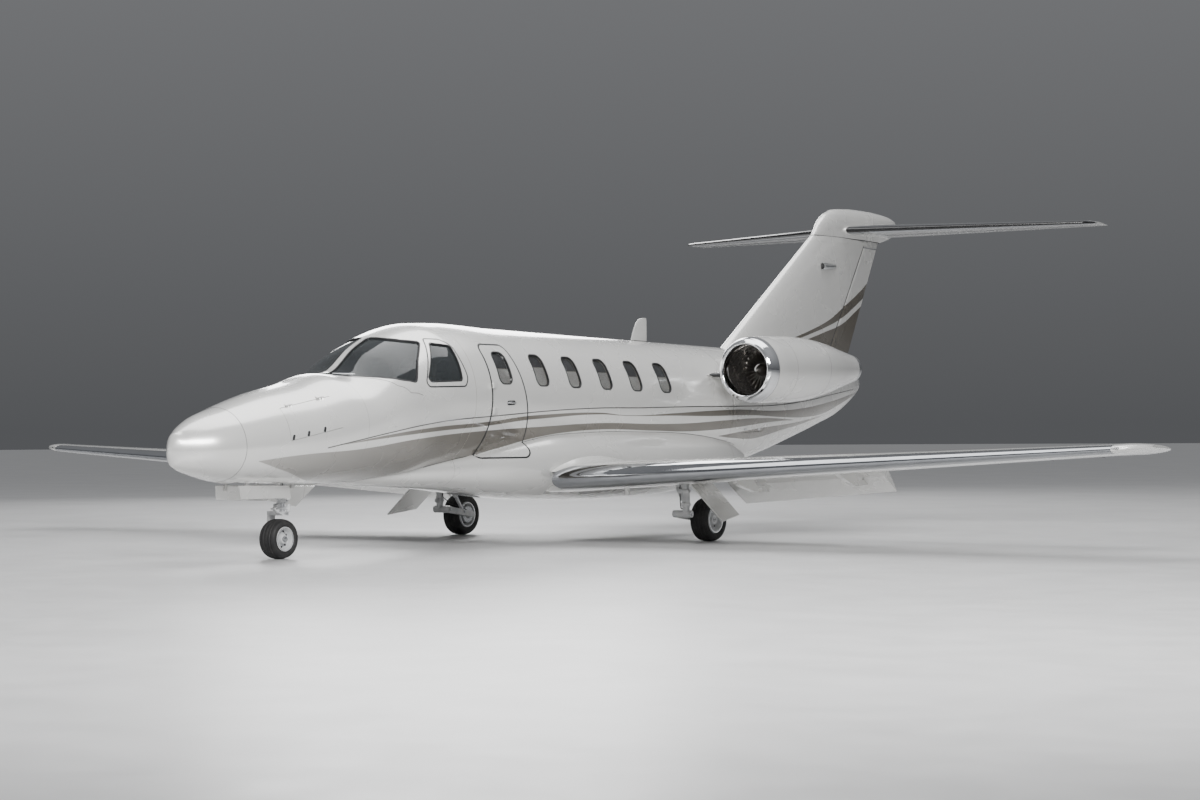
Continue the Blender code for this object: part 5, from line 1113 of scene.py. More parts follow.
(flapIn, flapOut), (aileronIn, aileronOut) = wing["flap"], wing["aileron"]
spans = np.unique(np.concatenate([np.linspace(0.80, flapIn, 60), np.linspace(flapIn, flapOut, 24),
                                  [flapOut, aileronIn], np.linspace(aileronIn, aileronOut, 28),
                                  np.linspace(aileronOut, wing["tipX"], 4)]))
places = np.unique(np.concatenate([bowed(wing["front"], wing["rear"], 24),
                                   np.linspace(wing["rear"], 1.0, 8)]))
bays = [np.array([(a, wing["rear"]), (b, wing["rear"]), (b, 1.1), (a, 1.1)])
        for a, b in (wing["flap"], wing["aileron"])]
wellX, wellS = np.array(wing["well"]).T
leading, chord = wingRow(wellX)[:2]
wheelWell = np.stack([wellX, (wellS - leading) / chord], -1)
for side, word in bothSides:
    for top, name, holes in ((1, "upper", bays), (-1, "lower", bays + [wheelWell])):
        flat, faces = openedGrid(spans, places, holes)
        x, c = flat.T
        points = sectionAt(side * x, top * c, wingRow(x), alongWing(x, "ratio"), skinLift)
        piece(f"wing_{name}_{word}", *thicken(*facing(points, faces, (0, 0, top)), 0.0016), plainPearl)
    x = np.linspace(0.98, 7.795, 90)[:, None]
    grid = sectionAt(side * x, roundEdge(wing["front"], 26), wingRow(x), alongWing(x, "ratio"), 0.0015)
    rear = (grid[:, :1] + grid[:, -1:]) / 2
    edge = piece(f"leading_edge_{word}", *closedEnds(np.concatenate([rear, grid, rear], 1)), edgeMetal)
    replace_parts(edge, f"wing_leading_edge_{word}")
    # Rounded tip: the section shrinks as the quarter of an ellipse
    t = 0.995 * np.sin(np.linspace(0, math.pi / 2, 14))[:, None]
    leading, chord, height, slope = wingRow(wing["tipX"])
    shrink = np.sqrt(1 - (0.98 * t) ** 2)
    row = (leading + 0.42 * (1 - shrink) * chord * 0.9, chord * (0.42 + 0.58 * shrink), height + 0.03 * t,
           slope)
    thickness = wing["ratio"][1] * (0.25 + 0.75 * shrink)
    grid = sectionAt(side * (wing["tipX"] - 0.0005 + 0.33 * t), roundEdge(1, 40), row, thickness, skinLift)
    piece(f"wing_tip_{word}", *closedEnds(grid), plainPearl)
    # Position light, a small lens in the tip's leading edge
    lens = roundedBox(at(side * 7.845, 5.565, 1.148), (0.085, 0.045, 0.028), power=0.6)
    piece(f"position_light_{word}", *lens, cabinGlass)
    # Static wicks on the ailerons' trailing edges
    for k, x in enumerate((5.2, 5.9, 6.6, 7.25)):
        leading, chord, height, slope = wingRow(x)
        rear, z = leading + chord, height - slope * chord
        path = np.linspace(at(side * x, rear - 0.015, z), at(side * x, rear + 0.11, z - 0.012), 6)
        piece(f"wick_{word}_{k}", *tube(path, np.linspace(0.0035, 0.0015, 6), 8), seal, f"aileron_{word}")

# Fillets on top of the wing's roots: they rise from the wing's skin to the fairing in a smooth curve
s = np.linspace(0, 1, 50)[:, None]
u = np.linspace(0, 1, 16)[None]
x = 0.90 + (0.40 * np.sin((s * 0.92 + 0.02) * math.pi) ** 0.8 + 0.03) * u
for side, word in bothSides:
    grid = sectionAt(side * x, 0.035 + 0.80 * s, wingRow(x), alongWing(x, "ratio"), skinLift)
    grid[..., 2] += 0.11 * np.sin(s * math.pi) ** 0.7 * (1 - u) ** 2.2
    piece(f"root_fillet_{word}", *thicken(*facing(*gridMesh(grid), (0, 0, 1)), 0.002), plainPearl)
print("wings made")

# Tailplane: skins over the solid, and the dark boot on its leading edge
tipSpan = 3.40 + 0.10 * np.sin(np.linspace(0.1, math.pi / 2, 10))
x = np.concatenate([np.linspace(0.15, 3.40, 40), tipSpan])[:, None]
shrink = 0.35 + 0.65 * np.sqrt(np.clip((tailSurface["half"] - x) / 0.10, 0, 1))
leading, chord, height, slope = tailRow(x)
row = (leading + (1 - shrink) * 0.35 * chord, chord * (1 - 0.35 * (1 - shrink)), height, slope)
for side, word in bothSides:
    for name, last, material, lift in (("edge", 0.13, edgeMetal, 0.0030), ("boot", 0.030, boot, 0.0048),
                                       ("skin", 0.665, plainPearl, skinLift)):
        grid = sectionAt(side * x, roundEdge(last, 18), row, tailSurface["ratio"] * shrink, lift)
        points, faces = awayFrom(*gridMesh(grid), 4.30, (0, 0, 1))
        piece(f"tail_{name}_{word}", *thicken(points, faces, 0.0015), material)

# Fin

finForm = {  # station and height at the foot and at the top
    "leading": ((10.30, 2.30), (13.02, 4.17)), "hinge": ((13.24, 2.30), (14.56, 4.17)),
    "trailing": ((13.97, 2.30), (15.02, 4.17)), "ratio": 0.095,
}


def finEdge(key, z):
    (s0, z0), (s1, z1) = finForm[key]
    return s0 + (s1 - s0) * (z - z0) / (z1 - z0)


# Share of the fin's chord at a station.
def finShare(s, z):
    return (s - finEdge("leading", z)) / (finEdge("trailing", z) - finEdge("leading", z))


# Skin of the fin: a symmetrical section in each level, port where c is positive.
def finPoint(z, c, lift=skinLift):
    leading = finEdge("leading", z)
    chord = finEdge("trailing", z) - leading
    place = np.abs(c)
    half = (halfThick(place, finForm["ratio"]) + 0.002 * place) * chord + lift
    nose = np.minimum(place / 0.01, 1)
    return at(np.sign(c) * half, leading + place * chord - lift * (1 - nose), z)


lowZ, highZ = np.linspace(2.31, 4.081, 70)[:, None], np.linspace(4.0825, 4.169, 6)[:, None]
t = roundEdge(1, 44)
toHinge = t * finShare(finEdge("hinge", lowZ) - 0.021, lowZ)
for name, z, c, material in (("fin_skin", lowZ, toHinge, striped), ("fin_top_skin", highZ, t, plainPearl)):
    points, faces = awayFrom(*gridMesh(finPoint(z, c)), 0, (1, 0, 0))
    piece(name, *thicken(points, faces, 0.0016), material)

# Cap of the fin: height, first and last station, half width
capTable = np.array([
    (4.1703, 13.02, 15.06, 0.110), (4.26, 13.10, 15.40, 0.135), (4.36, 13.18, 15.55, 0.150),
    (4.46, 13.30, 15.59, 0.145), (4.54, 13.46, 15.50, 0.118), (4.595, 13.70, 15.20, 0.075),
    (4.62, 14.05, 14.85, 0.030)])
capLow, capHigh = capTable[0, 0], capTable[-1, 0]
z = (capLow + (capHigh - capLow) * np.sin(np.linspace(0, math.pi / 2, 40)))[:, None]
front, rear, half = smoothRows(capTable, z[:, 0])[..., None]
rear = np.minimum(rear, length)
turn = np.arange(120) * tau / 120
c = (1 - np.cos(turn)) / 2
width = half * np.abs(np.sin(turn)) ** 0.8 * (1 - 0.45 * c)
capGrid = at(np.sign(np.sin(turn)) * width, front + c * (rear - front), z)
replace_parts(piece("fin_bullet", *closedEnds(capGrid), plainPearl, sharp=50), "fin_cap")

# Cooling scoop on the port side of the fin
s = np.linspace(0, 1, 24)[:, None]
turn = np.linspace(0, math.pi, 17)[None]
radius = 0.056 * (1 - s ** 2) ** 0.5
z = 3.715 + 0.02 * s
surface = finPoint(z, finShare(13.09 + 0.46 * s, z))
grid = surface + np.stack([radius * 1.2 * np.sin(turn), 0 * turn * s, radius * np.cos(turn)], -1)
piece("fin_scoop", *thicken(*facing(*gridMesh(grid), (1, 0, 0)), 0.003), steel)
# A black block fills the scoop's open front: painted shade of its inside.
mouth = roundedBox(surface[0, 0] + np.array([0.016, 0.004, 0.0]), (0.058, 0.020, 0.084), power=0.8)
piece("fin_scoop_shade", *mouth, seal)
print("tail made")

# Engines

# Along the axis, radius
outerTable = np.array([
    (0.000, 0.352), (0.015, 0.378), (0.060, 0.405), (0.22, 0.429), (0.60, 0.437), (1.05, 0.434),
    (1.50, 0.406), (1.95, 0.344), (2.35, 0.266), (2.76, 0.185)])
innerTable = np.array([
    (0.010, 0.330), (0.045, 0.318), (0.20, 0.302), (0.38, 0.290), (0.86, 0.290), (1.20, 0.320),
    (1.80, 0.300), (2.35, 0.235), (2.76, 0.172)])
engine = {"place": (1.395, 8.872, 2.113), "fanAt": 0.46, "blades": 24, "hub": 0.086}
aft = np.array([0, 0.99978, 0.020998])
across = np.array([1.0, 0, 0]), np.cross(aft, (1.0, 0, 0))


def profileOf(table, first, last, count):
    places = np.linspace(first ** 0.5, last ** 0.5, count) ** 2
    return np.stack([places, smoothRows(table, places)[0]], -1)


# Points round an engine's axis, from arrays of the way along, the radius and the angle.
def roundAxis(origin, along, radius, angle):
    return (origin + along[..., None] * aft + (radius * np.cos(angle))[..., None] * across[0]
            + (radius * np.sin(angle))[..., None] * across[1])


# Way along the axis and radius of the fan's spinner.
def spinnerLine(t):
    return -0.165 + 0.21 * t, engine["hub"] * np.sin(np.minimum(t * 1.25, 1) * math.pi / 2) ** 0.85


for side, word in bothSides:
    x, s, z = engine["place"]
    origin = at(side * x, s, z)
    lip = np.concatenate([profileOf(outerTable, 0.0, 0.170, 26)[::-1],
                          [(0.0, 0.347), (0.002, 0.340), (0.006, 0.334)],
                          profileOf(innerTable, 0.010, 0.105, 16), [(0.105, 0.325), (0.170, 0.408)]])
    piece(f"inlet_lip_{word}", *turned(lip, origin, aft, 96), bright)
    cowl = np.concatenate([profileOf(outerTable, 0.172, 2.76, 60),
                           profileOf(innerTable, 2.45, 2.76, 8)[::-1], [(2.4, 0.25), (0.172, 0.408)]])
    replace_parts(piece(f"cowl_{word}", *turned(cowl, origin, aft, 96), plainPearl), f"nacelle_{word}")
    ductLine = np.concatenate([profileOf(innerTable, 0.107, 2.45, 50),
                               [(2.45, 0.245), (1.2, 0.335), (0.107, 0.326)]])
    piece(f"duct_{word}", *turned(ductLine, origin, aft, 64), duct)
    nozzle = [(2.60, 0.2155), (2.762, 0.1862), (2.768, 0.180), (2.762, 0.1700), (2.60, 0.196),
              (2.60, 0.2125)]
    piece(f"nozzle_{word}", *turned(nozzle, origin, aft, 96), steel, slotName="engine_metal")
    for k, place in enumerate((0.1712, 0.62, 1.55)):
        radius = float(smoothRows(outerTable, np.array(place))[0])
        ring = [(place + a, radius + b) for a, b in ((-0.0015, -0.002), (-0.0015, 0.0007), (0.0015, 0.0007),
                                                     (0.0015, -0.002))]
        piece(f"cowl_seam_{word}_{k}", *turned(ring, origin, aft, 128), seal)
    # Fan: blades twisted from root to tip, on a spinner with a pale mark
    fanPlace, body = origin + aft * engine["fanAt"], f"fan_{word}"
    r = np.linspace(0.080, 0.2815, 10)[:, None]
    c = np.linspace(-0.5, 0.5, 8)[None]
    out = (r - 0.08) / 0.2
    stagger = np.radians(28 + 34 * out)
    chord = 0.072 + 0.028 * out
    arch = 0.010 * (1 - 4 * c ** 2)
    along = chord * c * np.cos(stagger) + arch * np.sin(stagger)
    angle = (chord * c * np.sin(stagger) - arch * np.cos(stagger) + 0.02 * out ** 2) / r
    blades = []
    for k in range(engine["blades"]):
        grid = roundAxis(fanPlace, along, r, angle + tau * k / engine["blades"])
        blades.append(turnedOut(*thicken(grid.reshape(-1, 3), gridFaces(10, 8), 0.0035)))
    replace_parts(piece(f"fan_blades_{word}", *joined(blades), titanium, body), body)
    spinner = np.stack(spinnerLine(np.linspace(0, 1, 30)), -1)
    spinner = np.concatenate([spinner, [(0.055, 0.084), (0.06, 0.0)]])
    spinner[0, 1] = 0.0
    piece(f"spinner_{word}", *turned(spinner, fanPlace, aft, 64, False), titanium, body)
    t = np.linspace(0.05, 0.52, 26)
    along, radius = spinnerLine(t)
    path = roundAxis(fanPlace, along, radius + 0.001, 2.2 + 5.0 * (t - 0.05))
    markRadius = 0.013 * np.sin(np.linspace(0.3, 2.84, 26))
    piece(f"spinner_mark_{word}", *tube(path, markRadius, 8), markPaint, body)
    # Dark front edge of the pylon
    u = np.linspace(0, 1, 16)[:, None]
    v = np.linspace(-1, 1, 21)[None]
    s = 8.965 + 0.25 * np.abs(v) ** 1.6
    z = 2.075 + lineRise(s, 9.0) - 0.01 + np.sign(v) * 0.046 * np.abs(v) ** 0.9
    grid = at(side * (0.80 + 0.28 * u), s, z)
    piece(f"pylon_edge_{word}", *turnedOut(*thicken(grid.reshape(-1, 3), gridFaces(16, 21), 0.003)),
          panelPlastic)
print("engines made")

# Wheels

# Round tyre with a flat-topped crown and four grooves, open to the rim.
def tyreProfile(radius, width, rim):
    phi = np.linspace(-0.42 * math.pi, 1.42 * math.pi, 100)
    middle = (radius + rim) / 2
    x = width / 2 * bend(np.cos(phi), 0.80)
    r = middle + (radius - middle) * bend(np.sin(phi), 0.72)
    places = np.array([-0.30, -0.10, 0.10, 0.30])[:, None]
    groove = 0.006 * (np.abs(x / width - places) < 0.026).any(0)
    return np.stack([x, r - np.where(np.sin(phi) > 0.75, groove, 0)], -1)


# Tyre, dished rim with its bolts, black blocks of painted shade in place of the rim's holes, and hub cap. It
# rides on the node of its own name.
def makeWheel(name, centre, radius, width, rim):
    axle, h = (1, 0, 0), width / 2
    piece(f"{name}_tyre", *turned(tyreProfile(radius, width, rim), centre, axle, 96), rubber, name, sharp=40)
    half = [(0.86 * h, rim + 0.014), (0.90 * h, rim + 0.004), (0.82 * h, rim - 0.004),
            (0.60 * h, rim * 0.90), (0.40 * h, rim * 0.84), (0.34 * h, rim * 0.70), (0.40 * h, rim * 0.52),
            (0.62 * h, rim * 0.44), (0.74 * h, rim * 0.40), (0.76 * h, rim * 0.30), (0.70 * h, 0.026)]
    table = np.array([(k, *p) for k, p in enumerate(half)], float)
    line = smoothRows(table, np.linspace(0, len(half) - 1, 44)).T
    whole = np.concatenate([line, line[::-1] * np.array([-1, 1])])
    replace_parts(piece(f"{name}_rim", *turned(whole, centre, axle, 72), gearPaint, name), name)
    ring = np.array([(0.885 * h, rim + 0.008), (0.93 * h, rim + 0.006), (0.93 * h, rim - 0.002),
                     (0.885 * h, rim - 0.004)])
    cap = np.array([(0.0, 0.0), (0.80 * h, 0.0), (0.80 * h, 0.012), (0.78 * h, 0.024), (0.72 * h, 0.028),
                    (0.0, 0.028)])
    bolts, slotShades = [], []

    # Nine boxes round the axle.
    def boxes(out, reach, start, size, power, count):
        turns = tau * (np.arange(9) + start) / 9
        spots = centre + np.stack([out * h + 0 * turns, rim * reach * np.cos(turns),
                                   rim * reach * np.sin(turns)], -1)
        return [roundedBox(spot, size, power, count) for spot in spots]

    for sign, word in ((1, "out"), (-1, "in")):
        flip = np.array([sign, 1])
        piece(f"{name}_ring_{word}", *turned(ring * flip, centre, axle, 72), bright, name)
        bolts += boxes(0.345 * sign, 0.68, 0.25, (0.012, 0.020, 0.020), 0.55, 3)
        bolts.append(turned(cap * flip, centre, axle, 32, False))
        # Black blocks in the dish: painted shade where the holes would be.
        slotShades += boxes(0.365 * sign, 0.72, 0.75, (0.006, 0.026, 0.026), 0.8, 4)
    piece(f"{name}_bolts", *joined(bolts), steel, name, "engine_metal")
    piece(f"{name}_slots", *joined(slotShades), seal, name)


makeWheel("nose_wheel", at(-0.02, 1.662, 0.215), 0.215, 0.22, 0.118)
for side, word in bothSides:
    makeWheel(f"main_wheel_{word}", at(side * 1.91, 7.187, 0.265), 0.265, 0.235, 0.150)
print("wheels made")

# Seats

seatSizes = {
    "cushion": ((0.0, -0.015, 0.325), (0.44, 0.51, 0.150)),
    "back": ((0.0, 0.220, 0.62), (0.40, 0.140, 0.48)),
    "head": ((0.0, 0.220, 0.935), (0.26, 0.100, 0.17)),
    "crown": 0.016, "ribDepth": 0.007, "ribs": 4, "piping": 0.0045,
    "cabin": [(0.44, 5.55, 1), (-0.44, 5.55, 1), (0.44, 6.75, -1), (-0.44, 6.75, -1), (0.44, 7.70, -1),
              (-0.44, 7.70, -1)],
    "crew": [(0.32, 3.52, -1), (-0.32, 3.52, -1)],
}


def floorHeight(s):
    return 1.661 + lineRise(np.maximum(s, 4.0)) - 0.63


# Stuffed block: a squared sphere whose faces swell towards their middle and sink along the ribs' seams.
def padShape(size, ribs):
    x, y, z = squaredSphere(14, 0.30, 0.45)
    swell = seatSizes["crown"] * (1 - x ** 2) * (1 - y ** 2)
    seam = sum((np.exp(-((y - (2 * k / ribs - 1)) / 0.055) ** 2) for k in range(1, ribs)), np.zeros_like(x))
    lift = (swell - seatSizes["ribDepth"] * seam * (1 - x ** 8)) * np.clip(z * 1.5, -1, 1)
    a, b, c = np.array(size) / 2 - (0.004, 0.004, 0.014)
    return np.stack([x * a, y * b, z * c + lift], -1)


# One seat on its pedestal, its cushions crowned, ribbed and piped. A back is a cushion stood on end.
def makeSeat(name, x, station, facing):
    base = float(floorHeight(station))

    def place(local):
        return at(x + local[..., 0], station - facing * local[..., 1], base + local[..., 2])

    pads = []
    for part, ribs, order, ends in (("cushion", seatSizes["ribs"], [0, 1, 2], (1,)),
                                    ("back", seatSizes["ribs"], [0, 2, 1], (1, -1)),
                                    ("head", 1, [0, 2, 1], (1, -1))):
        centre, size = np.array(seatSizes[part])
        a, b, c = size[order]
        grid = place(padShape((a, b, c), ribs)[..., order] + centre)
        pad = piece(f"{name}_{part}", *ringMesh(grid), leather, sharp=60)
        pads.append(pad)
        turn = np.linspace(0, tau, 57)
        edge = np.stack([bend(np.cos(turn), 0.30) * (a / 2 - 0.007),
                         bend(np.sin(turn), 0.30) * (b / 2 - 0.007), 0 * turn + 0.32 * c], -1)
        for sign in ends:
            loop = place((edge * np.array([1, 1, sign]))[:, order] + centre)
            piece(f"{name}_{part}_piping_{'front' if sign > 0 else 'rear'}",
                  *tube(loop, seatSizes["piping"], 8, False), liner, slotName="seat_leather")
    inner, outer = sorted((-math.copysign(0.23, x), math.copysign(0.03, x)))
    points, faces = roundedBox(((inner + outer) / 2, -0.01, 0.133), (outer - inner, 0.38, 0.254), power=0.22)
    piece(f"{name}_pedestal", *turnedOut(place(points), faces), panelPlastic)
    for across, word in ((0.065, "a"), (-0.065, "b")):
        post = np.array([(across, 0.220, 0.80), (across, 0.222, 0.88)])
        piece(f"{name}_post_{word}", *tube(place(post), 0.007, 10), steel)
    return pads[0]


for setName in ("cabin", "crew"):
    made = [makeSeat(f"{setName}_seat_{k}", *seat) for k, seat in enumerate(seatSizes[setName])]
    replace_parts(made[0], f"{setName}_seats")
rails = ([(x, 5.20, 8.10) for x in (0.30, 0.40, -0.30, -0.40)]
         + [(x, 3.30, 3.82) for x in (0.25, 0.38, -0.25, -0.38)])
for k, (x, s0, s1) in enumerate(rails):
    s = np.linspace(s0, s1, 12)
    piece(f"seat_rail_{k}", *tube(at(x, s, floorHeight(s) + 0.009), 0.006, 8), steel)

# Cockpit: screens, controls, compass
for k, (x, width) in enumerate(((0.37, 0.30), (0.0, 0.28), (-0.37, 0.30))):
    piece(f"screen_{k}", *roundedBox(at(x, 2.806, 1.695), (width, 0.018, 0.20), power=0.18), screen)
    piece(f"screen_frame_{k}", *roundedBox(at(x, 2.802, 1.695), (width + 0.028, 0.014, 0.228), power=0.16),
          panelPlastic)
knob = [(0.0, 0.0), (0.0, 0.007), (0.016, 0.006), (0.018, 0.0)]
knobs = [turned(knob, at(x, 2.80, z), (0, 1, 0), 12, False)
         for x in np.linspace(-0.52, 0.52, 14) for z in (1.562, 1.582)]
piece("panel_knobs", *joined(knobs), steel, slotName="dark_plastic")
t = np.linspace(-1, 1, 41)
z = 1.62 + 0.10 * np.abs(t) ** 3 - 0.012 * (1 - t ** 2)
for side, word in bothSides:
    x = side * 0.32
    column = [at(x, 2.80, 1.60), at(x, 2.90, 1.612), at(x, 3.02, 1.625)]
    piece(f"yoke_column_{word}", *tube(column, 0.016, 14), panelPlastic)
    bar = at(x + 0.15 * np.sin(t * 1.45), 3.03 - 0.02 * np.abs(t), z)
    piece(f"yoke_{word}", *tube(bar, 0.012 + 0.004 * np.abs(t), 12), panelPlastic)
for k, x in enumerate((-0.035, 0.035)):
    lever = [at(x, 2.98, 1.50), at(x, 2.98, 1.56), at(x, 2.985, 1.60)]
    piece(f"thrust_lever_{k}", *tube(lever, (0.006, 0.006, 0.012), 12), steel)
compass = [(-0.03, 0.0), (-0.03, 0.028), (-0.015, 0.036), (0.02, 0.036), (0.03, 0.028), (0.03, 0.0)]
piece("compass", *turned(compass, at(0.0, 2.845, 2.185), (0, 1, 0), 28, False), panelPlastic)
piece("compass_post", *tube([at(0, 2.86, 2.20), at(0, 2.90, 2.29)], 0.008, 10), panelPlastic)


# Points spread along a line of corner points.
def spreadAlong(corners, count):
    corners = np.array(corners)
    t = np.linspace(0, len(corners) - 1, count)
    return np.stack([np.interp(t, np.arange(len(corners)), column) for column in corners.T], -1)


# Silver air nozzle ahead of the windshield, and the seam below the glass
t = np.linspace(0, 1, 14)
s, x = 2.33 + 0.15 * t, 0.16 + 0.20 * t
top, bottom, half, middle = smoothRows(hullTable, s)
z = middle + (top - middle) * np.sqrt(np.clip(1 - (x / half) ** 2, 0, 1)) + 0.006
seamS, seamX = spreadAlong([(2.30, 0.20), (2.46, 0.42), (2.60, 0.62), (2.72, 0.765), (2.86, 0.835),
                            (3.05, 0.850)], 40).T
half = smoothRows(hullTable, seamS)[2]
angle = np.arccos(np.clip(np.minimum(seamX, half - 0.001) / half, -1, 1))
for side, word in bothSides:
    nozzle = tube(at(side * x, s, z), 0.011 * np.sin(0.35 + 2.4 * t) ** 0.6, 12)
    piece(f"windshield_nozzle_{word}", *nozzle, steel)
    path = hullPoint(seamS, angle if side > 0 else math.pi - angle, 0.0002)
    piece(f"windshield_seam_{word}", *tube(path, 0.0022, 8), seal)
print("cabin and cockpit made")

# Antenna on the crown, swept, with a round top
h = np.linspace(0, 1, 26)[:, None]
turn = (np.arange(40) * tau / 40)[None]
place = (1 - np.cos(turn)) / 2
front = 8.33 + 0.235 * h ** 1.15 + 0.085 * h ** 6
rear = 8.700 - 0.020 * h ** 8
grid = at(np.sign(np.sin(turn)) * (0.017 - 0.010 * h) * np.abs(np.sin(turn)) ** 0.9 * (1 - 0.3 * place),
          front + (rear - front) * place, 2.49 + 0.325 * np.sin(h * math.pi / 2) ** 0.9)
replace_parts(piece("antenna_blade", *closedEnds(grid), plainPearl, sharp=50), "dorsal_antenna")
s, x = roundedOutline([(8.30, -0.026), (8.73, -0.026), (8.73, 0.026), (8.30, 0.026)], 0.024, 0.01).T
foot = np.array([at(x * k, 8.515 + (s - 8.515) * (0.9 + 0.1 * k),
                    2.5085 + lineRise(s, 8.5) + rise - 0.6 * (x * k) ** 2)
                 for k, rise in ((1.0, -0.006), (1.0, 0.002), (0.8, 0.006), (0.0, 0.007))])
piece("antenna_foot", *ringMesh(foot), seal)

# Dark lines of the fin: hinge, and the lower rim of the bullet
z = np.linspace(2.45, 4.085, 40)
for side, word in bothSides:
    path = finPoint(z, side * finShare(finEdge("hinge", z) - 0.020, z), 0.0008)
    piece(f"hinge_line_{word}", *tube(path, 0.0080, 8), seal)
rim = np.concatenate([capGrid[0], capGrid[0, :1]])
rim[:, 2] = 4.1715
piece("bullet_rim", *tube(rim, 0.0065, 8, False), seal)

# Nose leg

# Stations and heights of the leg's parts
noseLeg = {"leg": 1.70, "collar": 1.690, "axle": (1.662, 0.215), "lugX": 0.068, "cylinderX": 0.094}


# A profile of (height, radius) turned about an upright axis.
def ringsRound(profile, s, x=0.0, count=32):
    return turned(profile, at(x, s, 0.0), (0, 0, 1), count, False)


gland = [(0.598, 0.030), (0.598, 0.054), (0.606, 0.060), (0.622, 0.061), (0.630, 0.050), (0.680, 0.050),
         (0.688, 0.061), (0.704, 0.060), (0.712, 0.044), (0.712, 0.030)]
piece("nose_gland", *ringsRound(gland, noseLeg["leg"]), gearPaint)
lugX = noseLeg["lugX"]
lugs = [roundedBox(at(x, s, 0.655), (0.050, 0.052, 0.046))
        for x, s in ((lugX, noseLeg["leg"]), (-lugX, noseLeg["leg"]), (0.0, 1.640))]
piece("nose_lugs", *joined(lugs), gearPaint)
bolt = [(0.626, 0.0), (0.626, 0.013), (0.640, 0.013), (0.672, 0.013), (0.684, 0.013), (0.684, 0.0)]
bolts = [ringsRound(bolt, noseLeg["leg"], x, 12) for x in (lugX, -lugX)]
piece("nose_lug_bolts", *joined(bolts), steel, slotName="engine_metal")
piston = [(0.498, 0.0), (0.498, 0.0292), (0.600, 0.0292), (0.600, 0.0)]
piece("nose_piston", *ringsRound(piston, noseLeg["leg"]), bright, "nose_fork")
collar = [roundedBox(at(0.0, noseLeg["collar"], 0.545), (0.215, 0.066, 0.030), power=0.3)]
cylinder = [(0.505, 0.0), (0.505, 0.017), (0.512, 0.022), (0.585, 0.022), (0.592, 0.016), (0.592, 0.0)]
for x in (noseLeg["cylinderX"], -noseLeg["cylinderX"]):
    collar.append(ringsRound(cylinder, noseLeg["collar"], x, 18))
    collar.append(tube([at(x, noseLeg["collar"], 0.515), at(x * 0.4, 1.66, 0.495)], 0.008, 10))
piece("steering_collar", *joined(collar), gearPaint, "nose_fork")
links = []
for x in (0.024, -0.024):
    for z0, z1, z2 in ((0.592, 0.565, 0.540), (0.488, 0.512, 0.538)):
        links.append(tube([at(x, 1.648, z0), at(x * 0.8, 1.600, z1), at(x * 0.45, 1.560, z2)], 0.0085, 10))
for s, z, reach, radius in ((1.558, 0.539, 0.030, 0.011), (1.652, 0.592, 0.038, 0.012),
                            (1.652, 0.488, 0.038, 0.012)):
    links.append(tube([at(-reach, s, z), at(reach, s, z)], radius, 12))
piece("nose_links", *joined(links), gearPaint, "nose_fork")
hose = spreadAlong([(0.040, 1.655, 1.02), (0.050, 1.650, 0.90), (0.046, 1.655, 0.78), (0.058, 1.655, 0.72),
                    (0.068, 1.668, 0.69), (0.070, 1.682, 0.668)], 40)
piece("nose_hose", *tube(at(*hose.T), 0.006, 8), seal)
nut = np.array([(0.0, 0.0), (0.0, 0.026), (0.012, 0.026), (0.016, 0.016), (0.026, 0.014), (0.028, 0.0)])
nuts = [turned(nut * np.array([reach, 1]), at(x, *noseLeg["axle"]), (1, 0, 0), 18, False)
        for x, reach in ((-0.178, -1), (0.074, 1))]
piece("nose_axle_nuts", *joined(nuts), steel, "nose_fork", "engine_metal")

# Main legs
legX, armX = 1.89, 1.7525           # the upright leg, and the trailing arm with its strut
legCollar = [(0.44, 0.040), (0.44, 0.052), (0.448, 0.056), (0.475, 0.056), (0.483, 0.047), (0.60, 0.047),
             (0.608, 0.056), (0.632, 0.056), (0.64, 0.040)]
legLugs = ((legX + 0.045, 6.685, 0.618), (legX - 0.045, 6.685, 0.618), (legX, 6.665, 0.46),
           (armX, 6.74, 0.345))
legPins = ((6.72, 0.345, armX - 0.050, legX + 0.085), (7.02, 0.31, armX - 0.045, armX + 0.045),
           (6.74, 0.70, armX - 0.04, armX + 0.04))
strutRadii = (0.034, 0.036, 0.036, 0.035, 0.035, 0.036, 0.036, 0.031)
brakeHose = spreadAlong([(legX - 0.055, 6.70, 0.80), (legX - 0.06, 6.68, 0.66), (legX - 0.07, 6.70, 0.50),
                         (armX + 0.01, 6.80, 0.41), (armX + 0.02, 7.00, 0.37),
                         (armX + 0.02, 7.12, 0.33)], 48)
disc = np.array([(0.0, 0.048), (0.0, 0.105), (0.012, 0.110), (0.030, 0.110), (0.030, 0.048)])
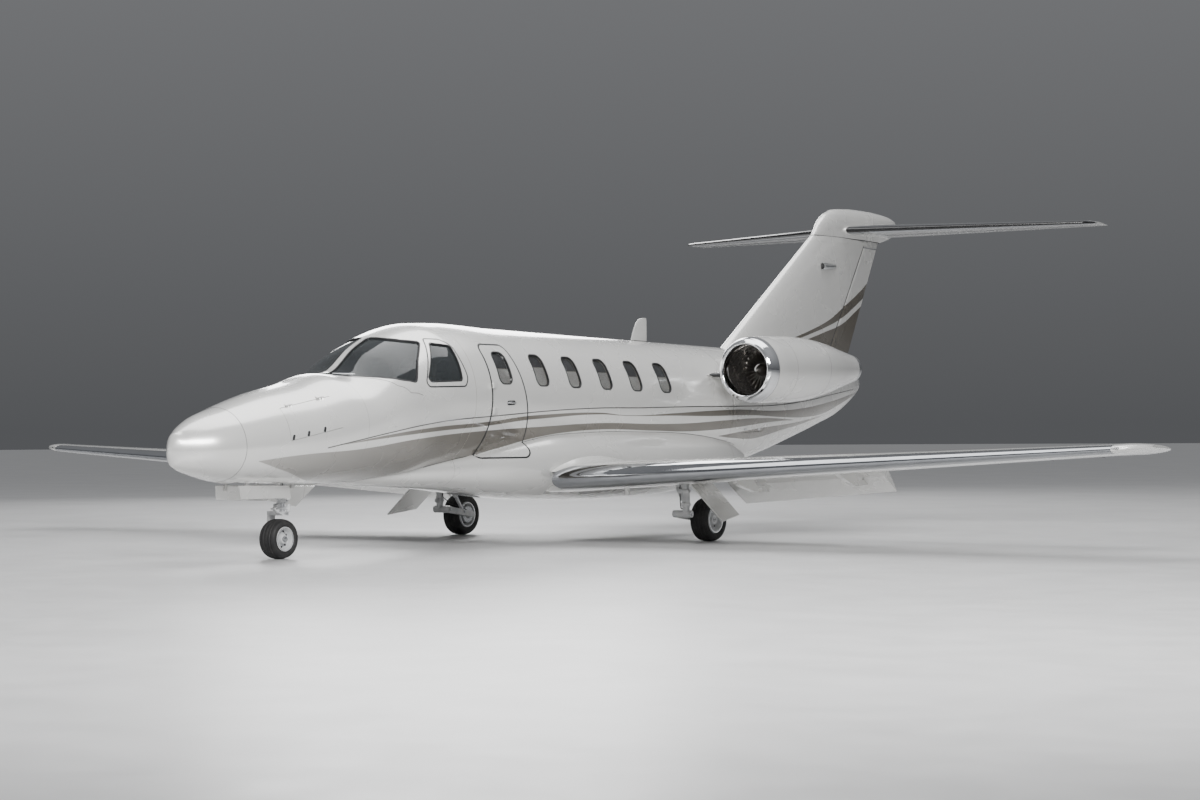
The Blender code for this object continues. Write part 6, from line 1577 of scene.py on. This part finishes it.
for side, word in bothSides:
    piece(f"leg_collar_{word}", *ringsRound(legCollar, 6.72, side * legX), gearPaint)
    lugs = [roundedBox(at(side * x, s, z), (0.052, 0.052, 0.056), power=0.5) for x, s, z in legLugs]
    piece(f"leg_lugs_{word}", *joined(lugs), gearPaint)
    pins = [tube([at(side * x0, s, z), at(side * x1, s, z)], 0.017, 14) for s, z, x0, x1 in legPins]
    piece(f"leg_pins_{word}", *joined(pins), steel, slotName="engine_metal")
    low, high = at(side * armX, 7.02, 0.31), at(side * armX, 6.74, 0.70)
    for name, first, last, radius, material in (("piston", 0.10, 0.52, 0.0252, bright),
                                                ("body", 0.52, 0.92, strutRadii, gearPaint)):
        path = low + (high - low) * np.linspace(first, last, 8)[:, None]
        piece(f"shock_{name}_{word}", *tube(path, radius, 20), material)
    hose = brakeHose * np.array([side, 1, 1])
    piece(f"brake_hose_{word}", *tube(at(*hose.T), 0.006, 8), seal)
    brake = turned(disc * np.array([side, 1]), at(side * 1.797, 7.187, 0.265), (1, 0, 0), 48)
    piece(f"brake_{word}", *brake, steel, slotName="engine_metal")

# Piano hinges of the gear doors: x, then station and height of each end
hinges = {
    "nose_door_hinge_left": (0.165, (0.86, 0.797), (1.62, 0.782)),
    "nose_door_hinge_right": (-0.165, (0.86, 0.797), (2.38, 0.775)),
    "main_door_hinge_left": (2.092, (6.50, 0.708), (7.00, 0.698)),
    "main_door_hinge_right": (-2.092, (6.50, 0.708), (7.00, 0.698)),
}
knuckle = 0.0075 + 0.0015 * (np.sin(np.linspace(0, 36 * math.pi, 60)) > 0)
for name, (x, first, last) in hinges.items():
    path = np.linspace(at(x, *first), at(x, *last), 60)
    piece(name, *tube(path, knuckle, 10), plainPearl)
print("gear made")


# Materials of the CAD pieces that still show. The others are pearl.
carried = {
    "cabin_door": striped, "fin": striped, "rudder": striped, "instrument_panel": panelPlastic,
    "cabin_floor": carpet, "engine_core_left": steel, "engine_core_right": steel, "nose_strut": gearPaint,
    "nose_fork": gearPaint, "main_leg_left": gearPaint, "main_leg_right": gearPaint,
}
for nodeName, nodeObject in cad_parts.items():
    material = carried.get(nodeName, plainPearl)
    for index in range(len(nodeObject.material_slots)):
        nodeObject.material_slots[index].material = material
